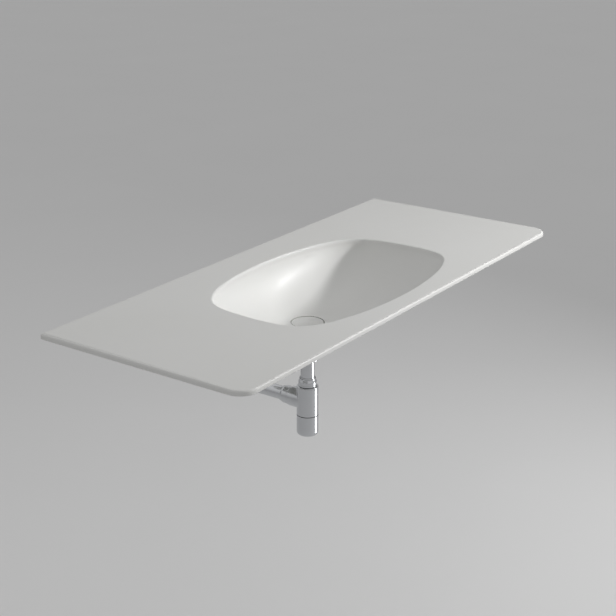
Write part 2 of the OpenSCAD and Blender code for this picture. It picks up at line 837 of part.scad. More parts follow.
// Spun cover plate that hides the hole in the wall, and slides on the pipe
module wall_rosette() {
    flare_steps = 6;
    outer = [for (i = [0 : flare_steps]) let (a = 90 * i / flare_steps)
        [rosette_r - (rosette_r - seat_r - rosette_t) * sin(a),
            -rosette_t - (rosette_h - rosette_t) * (1 - cos(a))]];
    inner = [for (i = [flare_steps : -1 : 0]) let (a = 90 * i / flare_steps)
        [rosette_r - rosette_t - (rosette_r - rosette_t - seat_r) * sin(a),
            -(rosette_h - rosette_t) * (1 - cos(a))]];
    color("silver")
    to_wall(0, outlet_z)
        rotate_extrude()
            polygon(concat([[rosette_r, 0]], outer, [[seat_r, -rosette_h]], inner));
}

basin();
bolt_sleeves();
hanger_bolts();
bolt_washers();
bolt_nuts();
nut_caps();
flange_gasket();
waste_body();
under_gasket();
slide_washer();
waste_locknut();
cartridge_body();
cartridge_spring();
plug_stem();
plug_carrier();
plug_seal();
plug_cover();
coupling_nut();
coupling_washer();
dip_tube();
inlet_slip_nut();
inlet_seal();
trap_body();
trap_cup();
cup_gasket();
outlet_slip_nut();
outlet_seal();
wall_pipe();
wall_rosette();
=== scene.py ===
"""Wall-hung washbasin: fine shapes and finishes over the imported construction.

Metres, in the construction's frame: X runs along the wall, +Y into the wall and +Z up. The
origin lies in the wall's face, midway between the two inner bolts.
"""
import sys
import json
import logging
import math
from collections.abc import Callable, Sequence
from dataclasses import dataclass, replace
from enum import Enum

import bmesh
import bpy
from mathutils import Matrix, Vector

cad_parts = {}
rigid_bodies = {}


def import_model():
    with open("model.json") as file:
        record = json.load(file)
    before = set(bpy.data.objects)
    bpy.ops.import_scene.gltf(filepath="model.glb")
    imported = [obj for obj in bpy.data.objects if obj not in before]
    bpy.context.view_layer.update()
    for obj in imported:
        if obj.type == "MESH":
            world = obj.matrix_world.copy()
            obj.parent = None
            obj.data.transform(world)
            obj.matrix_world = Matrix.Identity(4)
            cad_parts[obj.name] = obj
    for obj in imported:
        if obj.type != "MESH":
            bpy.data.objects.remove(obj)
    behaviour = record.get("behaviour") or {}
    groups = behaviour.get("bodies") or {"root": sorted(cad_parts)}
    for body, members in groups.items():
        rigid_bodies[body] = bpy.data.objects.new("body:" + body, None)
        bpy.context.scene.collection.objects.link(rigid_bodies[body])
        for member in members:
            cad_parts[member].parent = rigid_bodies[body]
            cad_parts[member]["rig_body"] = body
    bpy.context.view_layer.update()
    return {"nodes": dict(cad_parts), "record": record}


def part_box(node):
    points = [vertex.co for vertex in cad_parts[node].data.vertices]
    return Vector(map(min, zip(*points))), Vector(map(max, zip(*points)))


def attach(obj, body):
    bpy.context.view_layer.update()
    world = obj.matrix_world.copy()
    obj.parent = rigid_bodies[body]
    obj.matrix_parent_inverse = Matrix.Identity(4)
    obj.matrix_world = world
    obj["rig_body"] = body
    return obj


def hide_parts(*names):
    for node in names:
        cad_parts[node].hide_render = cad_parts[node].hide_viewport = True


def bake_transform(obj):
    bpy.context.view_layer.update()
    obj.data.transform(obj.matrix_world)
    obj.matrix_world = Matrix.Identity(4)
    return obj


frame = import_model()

log = logging.getLogger("washbasin")

MM = 0.001
# Facets around a turned piece, in one turn of a thread and along the arc of one rounded corner
TURN_STEPS = 96
WIND_STEPS = 40
ARC_STEPS = 5
# Steepest turn between two faces that still shades as one surface
SMOOTH_TURN = math.radians(32)
# Points closer than this are one point
TOUCH = 0.004 * MM

# Radii that ease the edges of turned pieces
CRISP = 0.2 * MM
FINE = 0.3 * MM
EASED = 0.4 * MM
SOFT = 0.5 * MM

# Sizes that several assemblies share: the tubes, the waste's tail and the play between two pieces
TUBE_R = 16 * MM
TUBE_WALL = 1 * MM
TAIL_R = 20.95 * MM
PLAY = 0.1 * MM

Piece = bpy.types.Object
Socket = bpy.types.NodeSocket
Ring = list[Vector]
# Corner of a turned section: distance from the axis, place along it and, where it is rounded, the radius
Corner = tuple[float, float] | tuple[float, float, float]


class Axis(Enum):
    """Line about which a piece is turned."""

    UP = "Z"
    INTO_WALL = "Y"

    @property
    def along(self) -> Vector:
        """Direction of the axis."""
        return Vector((0, 1, 0)) if self is Axis.INTO_WALL else Vector((0, 0, 1))

    @property
    def out(self) -> Vector:
        """Direction in which a section's radius is drawn."""
        return Vector((1, 0, 0))

    @property
    def lay(self) -> tuple[float, float, float]:
        """Rotation that lays a primitive's own axis along this one, a corner of a hexagon to the side."""
        side = math.radians(30)
        return (math.radians(90), side, 0) if self is Axis.INTO_WALL else (0, 0, side)


class Combine(Enum):
    """What a second solid does to the first."""

    ADD = "UNION"
    CUT = "DIFFERENCE"
    KEEP = "INTERSECT"


class Element(Enum):
    """Kind of element that is selected in edit mode."""

    POINT = "verts"
    EDGE = "edges"
    FACE = "faces"


@dataclass(frozen=True)
class Room:
    """Room that a node of the construction takes about an axis.

    Attributes:
        centre: Point of the axis from which places along it are counted.
        start: Lowest place along the axis.
        end: Highest place along the axis.
        radius: Half of the node's extent across the axis.
        axis: The axis.
    """

    centre: Vector
    start: float
    end: float
    radius: float
    axis: Axis

    @classmethod
    def of(cls, node: str, axis: Axis = Axis.UP) -> "Room":
        """Reads the room of a node from the frame.

        Args:
            node: Name of the construction's node.
            axis: Axis about which the node is turned.

        Returns:
            The room of the node at rest.
        """
        low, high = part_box(node)
        middle = (low + high) / 2
        along = axis.along
        centre = middle - along * middle.dot(along)
        return cls(centre, low.dot(along), high.dot(along), (high.x - low.x) / 2, axis)

    def point(self, r: float, h: float) -> Vector:
        """Point at a distance from the axis and a place along it."""
        return self.centre + self.axis.out * r + self.axis.along * h


# Modelling steps


def clear_selection() -> None:
    """Goes back to object mode with nothing selected."""
    if bpy.context.object and bpy.context.object.mode != "OBJECT":
        bpy.ops.object.mode_set(mode="OBJECT")
    bpy.ops.object.select_all(action="DESELECT")


def pick(piece: Piece) -> None:
    """Selects one piece alone and makes it active.

    Args:
        piece: The piece.
    """
    clear_selection()
    piece.select_set(True)
    bpy.context.view_layer.objects.active = piece


def take(name: str) -> Piece:
    """Names the primitive that was just added and puts its place into its mesh.

    Args:
        name: Name for the piece.

    Returns:
        The piece, at the origin.
    """
    piece = bpy.context.object
    piece.name = piece.data.name = name
    bpy.ops.object.transform_apply(location=True, rotation=True, scale=True)
    return piece


def add(name: str, primitive: Callable[..., set[str]], **settings: object) -> Piece:
    """Adds a primitive with nothing else selected.

    Args:
        name: Name for the piece.
        primitive: Blender's operator for it.
        **settings: The operator's settings.

    Returns:
        The piece, at the origin.
    """
    clear_selection()
    primitive(**settings)
    return take(name)


def edit(piece: Piece, whole: bool = False) -> bmesh.types.BMesh:
    """Opens a piece in edit mode.

    Args:
        piece: The piece.
        whole: Whether all of it is selected, or nothing.

    Returns:
        Its mesh, open for editing.
    """
    pick(piece)
    bpy.context.tool_settings.mesh_select_mode = (True, False, False)
    bpy.ops.object.mode_set(mode="EDIT")
    bpy.ops.mesh.select_all(action="SELECT" if whole else "DESELECT")
    return bmesh.from_edit_mesh(piece.data)


def choose(piece: Piece, kind: Element, test: Callable[..., bool]) -> None:
    """Selects the elements of an open piece that pass a test, and nothing else.

    Args:
        piece: The piece, in edit mode.
        kind: Kind of element.
        test: The test, which takes one element.
    """
    bpy.ops.mesh.select_all(action="DESELECT")
    bpy.context.tool_settings.mesh_select_mode = tuple(kind is each for each in Element)
    mesh = bmesh.from_edit_mesh(piece.data)
    for item in getattr(mesh, kind.value):
        item.select_set(test(item))
    mesh.select_flush_mode()
    bmesh.update_edit_mesh(piece.data)


def round_off(piece: Piece, kind: Element, test: Callable[..., bool], radius: float, steps: int) -> None:
    """Rounds the points or edges of an open piece that pass a test.

    Args:
        piece: The piece, in edit mode.
        kind: Points or edges.
        test: The test, which takes one element.
        radius: Reach of the rounding.
        steps: Its facets.
    """
    choose(piece, kind, test)
    affect = "VERTICES" if kind is Element.POINT else "EDGES"
    bpy.ops.mesh.bevel(offset=radius, segments=steps, affect=affect)


def place_points(piece: Piece, places: Sequence[Sequence[float]]) -> None:
    """Opens a piece with all of it selected and moves its points, in order.

    Args:
        piece: The piece.
        places: New place of each point.
    """
    mesh = edit(piece, whole=True)
    for point, place in zip(mesh.verts, places):
        point.co = place
    bmesh.update_edit_mesh(piece.data)


def quarter_turn(steps: int) -> list[float]:
    """Angles from 0 to a quarter turn in equal steps."""
    return [math.pi / 2 * k / steps for k in range(steps + 1)]


def close_up(piece: Piece) -> Piece:
    """Merges doubles, turns the faces outwards and shades the curves smooth.

    Args:
        piece: The piece.

    Returns:
        The same piece.
    """
    edit(piece, whole=True)
    bpy.ops.mesh.remove_doubles(threshold=TOUCH)
    bpy.ops.mesh.normals_make_consistent(inside=False)
    pick(piece)
    bpy.ops.object.shade_smooth_by_angle(angle=SMOOTH_TURN)
    return piece


def soften(corners: Sequence[Corner]) -> list[Vector]:
    """Rounds the corners of a section and holds each rounding with a point beside it.

    Args:
        corners: Corners in order. A section that starts off the axis is a closed ring.

    Returns:
        Points of the section, with the first repeated at the end of a ring.
    """
    hold, most = 0.35, 0.45
    flat = [Vector(corner[:2]) for corner in corners]
    line: list[Vector] = []
    for i, (here, corner) in enumerate(zip(flat, corners)):
        if len(corner) == 2:
            line.append(here)
            continue
        before, after = flat[i - 1] - here, flat[(i + 1) % len(flat)] - here
        a, b = before.normalized(), after.normalized()
        half = a.angle(b) / 2
        reach = min(corner[2] / math.tan(half), most * before.length, most * after.length)
        hub = here + (a + b).normalized() * (reach / math.cos(half))
        first, last = here + a * reach - hub, here + b * reach - hub
        sweep = math.pi - 2 * half
        line.append(hub + first + a * min(hold * reach, 0.5 * before.length - reach))
        for k in range(ARC_STEPS + 1):
            u = k / ARC_STEPS
            spoke = first * math.sin((1 - u) * sweep) + last * math.sin(u * sweep)
            line.append(hub + spoke / math.sin(sweep))
        line.append(hub + last + b * min(hold * reach, 0.5 * after.length - reach))
    if corners[0][0] > 0:
        line.append(line[0].copy())
    return line


def turn(name: str, corners: Sequence[Corner], room: Room) -> Piece:
    """Turns a piece as on a lathe: draws its section point by point and spins it.

    Args:
        name: Name of the piece.
        corners: Corners of the section.
        room: Room about whose axis it is turned.

    Returns:
        The closed, smooth-shaded piece.
    """
    points = [room.point(*p) for p in soften(corners)]
    piece = add(name, bpy.ops.mesh.primitive_plane_add, size=MM, location=points[0])
    edit(piece, whole=True)
    bpy.ops.mesh.merge(type="CENTER")
    for a, b in zip(points, points[1:]):
        bpy.ops.mesh.extrude_region_move(TRANSFORM_OT_translate={"value": b - a})
    bpy.ops.mesh.select_all(action="SELECT")
    bpy.ops.mesh.spin(steps=TURN_STEPS, angle=math.tau, center=room.centre, axis=room.axis.along)
    return close_up(piece)


def loft(name: str, rings: Sequence[Ring], capped: bool = False) -> Piece:
    """Draws a skin ring by ring: a circle takes the first ring's shape and is extruded to each next one.

    Args:
        name: Name of the piece.
        rings: Rings with the same number of points, in matching order.
        capped: Whether both ends are filled.

    Returns:
        The piece, not yet shaded.
    """
    piece = add(name, bpy.ops.mesh.primitive_circle_add, vertices=len(rings[0]), radius=MM)
    place_points(piece, rings[0])
    if capped:
        bpy.ops.mesh.edge_face_add()
        bpy.ops.mesh.select_all(action="SELECT")
    for ring, following in zip(rings, rings[1:]):
        bpy.ops.mesh.extrude_region_move()
        skin = bmesh.from_edit_mesh(piece.data)
        goals = {tuple(Vector(a)): b for a, b in zip(ring, following)}
        for point in skin.verts:
            if point.select:
                point.co = goals[tuple(point.co)]
        bmesh.update_edit_mesh(piece.data)
    return piece


def combine(piece: Piece, tool: Piece, how: Combine) -> Piece:
    """Joins a second solid to a piece, cuts it off or keeps what they share.

    Args:
        piece: The piece.
        tool: The second solid, which is used up.
        how: What the second solid does to the piece.

    Returns:
        The piece.
    """
    pick(piece)
    step = piece.modifiers.new("combine", "BOOLEAN")
    step.operation = how.value
    step.solver = "MANIFOLD"
    step.object = tool
    bpy.ops.object.modifier_apply(modifier=step.name)
    bpy.data.objects.remove(tool)
    return piece


def gather(name: str, pieces: Sequence[Piece]) -> Piece:
    """Makes one piece of several.

    Args:
        name: Name of the new piece.
        pieces: The pieces, which are used up.

    Returns:
        The new piece.
    """
    pick(pieces[0])
    for piece in pieces:
        piece.select_set(True)
    bpy.ops.object.join()
    pieces[0].name = pieces[0].data.name = name
    return pieces[0]


def twin(piece: Piece, name: str, shift: Vector) -> Piece:
    """Copies a piece with a mesh of its own.

    Args:
        piece: The pattern.
        name: Name of the copy.
        shift: How far the copy's mesh is moved.

    Returns:
        The copy.
    """
    copy = piece.copy()
    copy.data = piece.data.copy()
    bpy.context.scene.collection.objects.link(copy)
    copy.location = shift
    pick(copy)
    return take(name)


def wind(name: str, section: Sequence[tuple[float, float]], pitch: float, turns: float, room: Room) -> Piece:
    """Winds a closed section round an axis with the Screw modifier, as for a thread or a spring.

    Args:
        name: Name of the piece.
        section: Points of the section as distance from the axis and place along it.
        pitch: Rise in one turn.
        turns: Number of turns.
        room: Room about whose axis it is wound.

    Returns:
        The closed piece.
    """
    axis = room.axis
    piece = add(name, bpy.ops.mesh.primitive_circle_add, vertices=len(section), radius=MM)
    place_points(piece, [axis.out * r + axis.along * h for r, h in section])
    pick(piece)
    screw = piece.modifiers.new("screw", "SCREW")
    screw.axis = axis.value
    screw.angle = math.tau * turns
    screw.screw_offset = pitch * turns
    screw.steps = screw.render_steps = round(WIND_STEPS * turns)
    bpy.ops.object.modifier_apply(modifier=screw.name)
    piece.location = room.centre
    bpy.ops.object.transform_apply(location=True, rotation=True, scale=True)
    edit(piece, whole=True)
    bpy.ops.mesh.fill_holes(sides=len(section))
    return close_up(piece)


def thread(name: str, root: float, crest: float, pitch: float, start: float, end: float, room: Room) -> Piece:
    """Winds a V thread between two places along an axis, its foot sunk in the shank.

    Args:
        name: Name of the piece.
        root: Radius of the shank.
        crest: Radius over the thread.
        pitch: Rise in one turn.
        start: Where the thread begins along the axis.
        end: Where it ends.
        room: Room about whose axis it is wound.

    Returns:
        The closed piece.
    """
    sunk = 0.15 * MM
    foot, middle, land = 0.9 * pitch, 0.45 * pitch, 0.08 * pitch
    fade = 0.95
    section = [
        (root - sunk, start), (root - sunk, start + foot), (crest, start + middle + land),
        (crest, start + middle - land)]
    return wind(name, section, pitch, (end - start) / pitch - fade, room)


def hexagon(name: str, flats: float, bore: float, room: Room) -> Piece:
    """Makes a nut: a hexagonal bar with crowned ends and a bore.

    Args:
        name: Name of the piece.
        flats: Width across the flats.
        bore: Radius of the bore.
        room: Room along its axis.

    Returns:
        The nut.
    """
    corner = flats / math.sqrt(3)
    steep, inset, lead = 0.6, 0.98, 0.4 * MM
    crown = (corner - flats / 2) * steep
    bar = add(
        name, bpy.ops.mesh.primitive_cylinder_add, vertices=6, radius=corner, depth=room.end - room.start,
        location=room.point(0, (room.start + room.end) / 2), rotation=room.axis.lay)
    shell = turn(name + "_crown", [
        (0, room.start), (flats / 2 * inset, room.start),
        (corner + lead, room.start + crown), (corner + lead, room.end - crown),
        (flats / 2 * inset, room.end), (0, room.end)], room)
    combine(bar, shell, Combine.KEEP)
    drill = turn(name + "_drill", [
        (0, room.start - lead), (bore + 2 * lead, room.start - lead), (bore, room.start + lead),
        (bore, room.end - lead), (bore + 2 * lead, room.end + lead), (0, room.end + lead)], room)
    combine(bar, drill, Combine.CUT)
    return close_up(bar)


def washer(name: str, bore: float, room: Room, bend: float = SOFT) -> Piece:
    """Turns a flat ring that fills a node's room, with its edges rounded.

    Args:
        name: Name of the piece.
        bore: Radius of its hole.
        room: Room that it fills.
        bend: Radius that rounds its edges.

    Returns:
        The ring.
    """
    return turn(name, [
        (bore, room.start, bend), (room.radius, room.start, bend),
        (room.radius, room.end, bend), (bore, room.end, bend)], room)


# Finishes


def add_node(
    tree: bpy.types.NodeTree, kind: str, inputs: dict | None = None, **settings: object
) -> bpy.types.Node:
    """Adds a node to a material or the world.

    Args:
        tree: Its node tree.
        kind: Blender's name for the node.
        inputs: Values or sockets by input name or number.
        **settings: The node's own settings.

    Returns:
        The node.
    """
    node = tree.nodes.new(kind)
    for key, value in settings.items():
        setattr(node, key, value)
    for key, value in (inputs or {}).items():
        if isinstance(value, Socket):
            tree.links.new(value, node.inputs[key])
        else:
            node.inputs[key].default_value = value
    return node


def looked_at(tree: bpy.types.NodeTree) -> Socket:
    """Tells the rays that see a surface from the rays that it lights by.

    Args:
        tree: Node tree of a material or the world.

    Returns:
        1 for the camera, mirrors and glass, and 0 for all other rays.
    """
    path = add_node(tree, "ShaderNodeLightPath").outputs
    seen = path["Is Camera Ray"]
    for kind in ("Is Glossy Ray", "Is Transmission Ray"):
        seen = add_node(tree, "ShaderNodeMath", {0: seen, 1: path[kind]}, operation="MAXIMUM").outputs[0]
    return seen


class Recipe:
    """Material in the making: its node tree, its shader and the piece's own coordinates."""

    def __init__(self, name: str) -> None:
        """Starts a material with its shader.

        Args:
            name: Name of the finish.
        """
        self.material = bpy.data.materials.new(name)
        self.material.use_nodes = True
        self.tree = self.material.node_tree
        self.shader = self.tree.nodes["Principled BSDF"]
        self.place = self.add("ShaderNodeTexCoord").outputs["Object"]

    def add(self, kind: str, inputs: dict | None = None, **settings: object) -> bpy.types.Node:
        """Adds a node to the material."""
        return add_node(self.tree, kind, inputs, **settings)

    def stretched(self, scale: tuple[float, float, float]) -> Socket:
        """The piece's coordinates, scaled along each axis."""
        return self.add("ShaderNodeMapping", {"Vector": self.place, "Scale": scale}).outputs[0]

    def noise(self, scale: float, detail: float = 3.0, place: Socket | None = None) -> Socket:
        """Cloudy pattern from 0 to 1 with so many patches in a metre."""
        return self.add("ShaderNodeTexNoise", {
            "Vector": place or self.place, "Scale": scale, "Detail": detail}).outputs[0]

    def spread(
        self, value: Socket, low: float = 0.0, high: float = 1.0, start: float = 0.3, end: float = 0.7
    ) -> Socket:
        """Stretches a value's run from start to end over low to high."""
        return self.add("ShaderNodeMapRange", {
            "Value": value, "From Min": start, "From Max": end, "To Min": low, "To Max": high}).outputs[0]

    def calc(self, a: Socket, b: Socket | float, how: str = "ADD") -> Socket:
        """Adds two values, or combines them in another way."""
        return self.add("ShaderNodeMath", {0: a, 1: b}, operation=how).outputs[0]

    def mix(self, share: Socket, first: object, second: object) -> Socket:
        """Mixes two colours.

        Args:
            share: Share of the second colour.
            first: First colour, as three numbers or a socket.
            second: Second colour, as three numbers or a socket.

        Returns:
            The mixed colour.
        """
        first, second = (c if isinstance(c, Socket) else (*c, 1.0) for c in (first, second))
        node = self.add("ShaderNodeMix", {0: share, 6: first, 7: second}, data_type="RGBA")
        return node.outputs[2]

    def relief(
        self, height: Socket, depth: float, strength: float, below: Socket | None = None
    ) -> Socket:
        """Raises a bump on the surface.

        Args:
            height: Pattern of the bump.
            depth: Its depth in metres.
            strength: How much of it shows.
            below: Bump that it lies over.

        Returns:
            The bumped normal.
        """
        inputs = {"Height": height, "Distance": depth, "Strength": strength}
        if below is not None:
            inputs["Normal"] = below
        return self.add("ShaderNodeBump", inputs).outputs[0]

    def pour(self, **inputs: object) -> bpy.types.Material:
        """Sets the shader's inputs.

        Args:
            **inputs: Values or sockets by input name, with underscores for spaces.

        Returns:
            The finished material.
        """
        for key, value in inputs.items():
            socket = self.shader.inputs[key.replace("_", " ")]
            if isinstance(value, Socket):
                self.tree.links.new(value, socket)
            else:
                socket.default_value = value
        return self.material


@dataclass(frozen=True)
class Finish:
    """Finish that pieces share.

    Attributes:
        name: Name of the material.
        slot: Name of the record's material slot. Not used.
        colour: Main colour.
        shade: Second colour that the first drifts towards.
        matt: Lowest and highest roughness.
    """

    name: str
    slot: str
    colour: tuple[float, float, float]
    shade: tuple[float, float, float]
    matt: tuple[float, float]

    def mixed(self) -> bpy.types.Material:
        """The material, made on first use."""
        return bpy.data.materials.get(self.name) or self.make(Recipe(self.name))

    def drift(self, mix: Recipe, pattern: Socket) -> Socket:
        """The main colour, drifting towards the second with a pattern."""
        return mix.mix(mix.spread(pattern), self.colour, self.shade)

    def make(self, mix: Recipe) -> bpy.types.Material:
        """Makes the material. Each finish has its own way."""
        raise NotImplementedError


@dataclass(frozen=True)
class SatinGlaze(Finish):
    """Satin white glaze with a faint ripple, and bare fired clay where the piece stands against the wall."""

    clay: tuple[float, float, float] = (0.74, 0.72, 0.68)
    clay_depth: float = 0.6 * MM

    def make(self, mix: Recipe) -> bpy.types.Material:
        """Makes the glaze: a drifting white, a ripple, pores, and clay where it is bare.

        Args:
            mix: The material in the making.

        Returns:
            The finished material.
        """
        cloud = mix.noise(5.0, 4.0)
        ripple = mix.noise(150.0, 2.0)
        pores = mix.noise(2200.0, 2.0)
        depth = mix.add("ShaderNodeSeparateXYZ", {0: mix.place}).outputs["Y"]
        wander, fade = 0.4 * MM, 0.2 * MM
        ragged = mix.calc(depth, mix.spread(mix.noise(300.0), -wander, wander))
        bare = mix.spread(ragged, 0.0, 1.0, -self.clay_depth - fade, -self.clay_depth + fade)
        glazed = self.drift(mix, cloud)
        rough = mix.spread(mix.noise(45.0, 4.0), *self.matt)
        rough = mix.calc(rough, mix.spread(bare, 0.0, 0.4, 0.0, 1.0))
        relief = mix.relief(ripple, 0.25 * MM, 0.12)
        return mix.pour(
            Base_Color=mix.mix(bare, glazed, self.clay), Roughness=rough, Specular_IOR_Level=0.5,
            Coat_Weight=0.06, Coat_Roughness=0.25, Normal=mix.relief(pores, 0.02 * MM, 0.25, relief))


@dataclass(frozen=True)
class PolishedPlate(Finish):
    """Bright plate over turned metal. Fine polishing lines round it draw highlights out along its axis."""

    axis: Axis = Axis.UP

    def make(self, mix: Recipe) -> bpy.types.Material:
        """Makes the plate: wiping marks, water spots and highlights drawn out by the polish.

        Args:
            mix: The material in the making.

        Returns:
            The finished material.
        """
        wiped = mix.noise(40.0, 5.0, mix.stretched((1.0, 1.0, 0.35)))
        spots = mix.spread(mix.noise(260.0, 2.0), 0.0, 1.0, 0.66, 0.74)
        rough = mix.calc(mix.spread(wiped, *self.matt), mix.spread(spots, 0.0, 0.10, 0.0, 1.0))
        colour = self.drift(mix, mix.noise(12.0))
        around = mix.add("ShaderNodeTangent", {}, direction_type="RADIAL", axis=self.axis.value)
        return mix.pour(
            Base_Color=colour, Metallic=1.0, Roughness=rough, Anisotropic=0.7, Anisotropic_Rotation=0.25,
            Tangent=around.outputs[0], Normal=mix.relief(mix.noise(320.0, 2.0), 0.03 * MM, 0.10))


@dataclass(frozen=True)
class MachinedMetal(Finish):
    """Bare or zinc-plated metal with tool marks round it and a drifting tarnish."""

    marks: float = 2600.0

    def make(self, mix: Recipe) -> bpy.types.Material:
        """Makes the metal: tool marks, a drifting tarnish and a fine grain.

        Args:
            mix: The material in the making.

        Returns:
            The finished material.
        """
        tool = mix.noise(1.0, 3.0, mix.stretched((60.0, self.marks, self.marks)))
        tarnish = mix.noise(55.0, 5.0)
        grain = mix.noise(900.0, 3.0)
        colour = self.drift(mix, tarnish)
        rough = mix.spread(mix.calc(tarnish, grain, "MULTIPLY"), *self.matt, 0.1, 0.45)
        return mix.pour(
            Base_Color=colour, Metallic=1.0, Roughness=rough,
            Normal=mix.relief(tool, 0.04 * MM, 0.3, mix.relief(grain, 0.03 * MM, 0.25)))


@dataclass(frozen=True)
class MouldedRubber(Finish):
    """Matt black rubber with a fine mould grain and a little dust."""

    def make(self, mix: Recipe) -> bpy.types.Material:
        """Makes the rubber: a mould grain and dust in patches.

        Args:
            mix: The material in the making.

        Returns:
            The finished material.
        """
        grain = mix.noise(1600.0, 3.0)
        dust = mix.spread(mix.noise(420.0, 4.0), 0.0, 0.35, 0.6, 0.8)
        return mix.pour(
            Base_Color=mix.mix(dust, self.colour, self.shade),
            Roughness=mix.spread(mix.noise(80.0), *self.matt), Normal=mix.relief(grain, 0.05 * MM, 0.5))


@dataclass(frozen=True)
class MouldedNylon(Finish):
    """Off-white nylon, slightly waxy, with flow marks from its mould."""

    def make(self, mix: Recipe) -> bpy.types.Material:
        """Makes the nylon: flow marks and a fine grain.

        Args:
            mix: The material in the making.

        Returns:
            The finished material.
        """
        flow = mix.noise(30.0, 4.0, mix.stretched((1.0, 3.0, 1.0)))
        grain = mix.noise(1400.0, 2.0)
        return mix.pour(
            Base_Color=self.drift(mix, flow),
            Roughness=mix.spread(flow, *self.matt), Specular_IOR_Level=0.5,
            Normal=mix.relief(grain, 0.04 * MM, 0.35))


@dataclass(frozen=True)
class StudioFloor(Finish):
    """Plain pale floor. The camera and mirrors see it lifted towards white, with the object's shadow kept."""

    lift: float = 0.07

    def make(self, mix: Recipe) -> bpy.types.Material:
        """Makes the floor.

        Args:
            mix: The material in the making.

        Returns:
            The finished material.
        """
        return mix.pour(
            Base_Color=self.drift(mix, mix.noise(2.0)),
            Roughness=self.matt[0], Specular_IOR_Level=0.1, Emission_Color=(1.0, 1.0, 1.0, 1.0),
            Emission_Strength=mix.calc(looked_at(mix.tree), self.lift, "MULTIPLY"))


GLAZE = SatinGlaze("satin_glaze", "ceramic", (0.80, 0.80, 0.785), (0.785, 0.785, 0.765), (0.46, 0.54))
CHROME = PolishedPlate("polished_chrome", "chrome", (0.60, 0.61, 0.625), (0.565, 0.575, 0.595), (0.08, 0.13))
CHROME_OUTLET = replace(CHROME, name="polished_chrome_outlet", axis=Axis.INTO_WALL)
BRASS = MachinedMetal("turned_brass", "brass", (0.72, 0.52, 0.24), (0.60, 0.41, 0.19), (0.22, 0.42))
ZINC = MachinedMetal("zinc_plate", "zinc_steel", (0.60, 0.61, 0.62), (0.52, 0.51, 0.46), (0.26, 0.46))
RUBBER = MouldedRubber("moulded_rubber", "rubber", (0.018, 0.018, 0.019), (0.10, 0.10, 0.10), (0.62, 0.8))
NYLON = MouldedNylon("moulded_nylon", "nylon", (0.74, 0.74, 0.71), (0.69, 0.69, 0.645), (0.38, 0.52))
FLOOR = StudioFloor("studio_floor", "", (0.72, 0.72, 0.72), (0.71, 0.71, 0.71), (0.9, 0.9))


def dress(piece: Piece, finish: Finish, node: str) -> None:
    """Gives a piece its finish and stands it in for a node of the construction.

    Args:
        piece: The finished mesh.
        finish: Its finish.
        node: Node of the construction that it replaces.
    """
    piece.data.materials.clear()
    piece.data.materials.append(finish.mixed())
    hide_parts(node)
    log.info("%s for %s: %s, %d faces", piece.name, node, finish.name, len(piece.data.polygons))


def fit(piece: Piece, finish: Finish, node: str) -> None:
    """Dresses a piece and hangs it on the body of the node that it replaces.

    Args:
        piece: The finished mesh.
        finish: Its finish.
        node: Node of the construction that it replaces.
    """
    dress(piece, finish, node)
    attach(piece, frame["nodes"][node]["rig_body"])


def fit_ring(
    name: str, finish: Finish, node: str, bore: float, bend: float = SOFT, axis: Axis = Axis.UP
) -> None:
    """Turns a washer, gasket or seal that fills its node's room, and fits it.

    Args:
        name: Name of the piece.
        finish: Its finish.
        node: Node of the construction that it replaces.
        bore: Radius of its hole.
        bend: Radius that rounds its edges.
        axis: Axis of the ring.
    """
    fit(washer(name, bore, Room.of(node, axis), bend), finish, node)


# Sub-assemblies


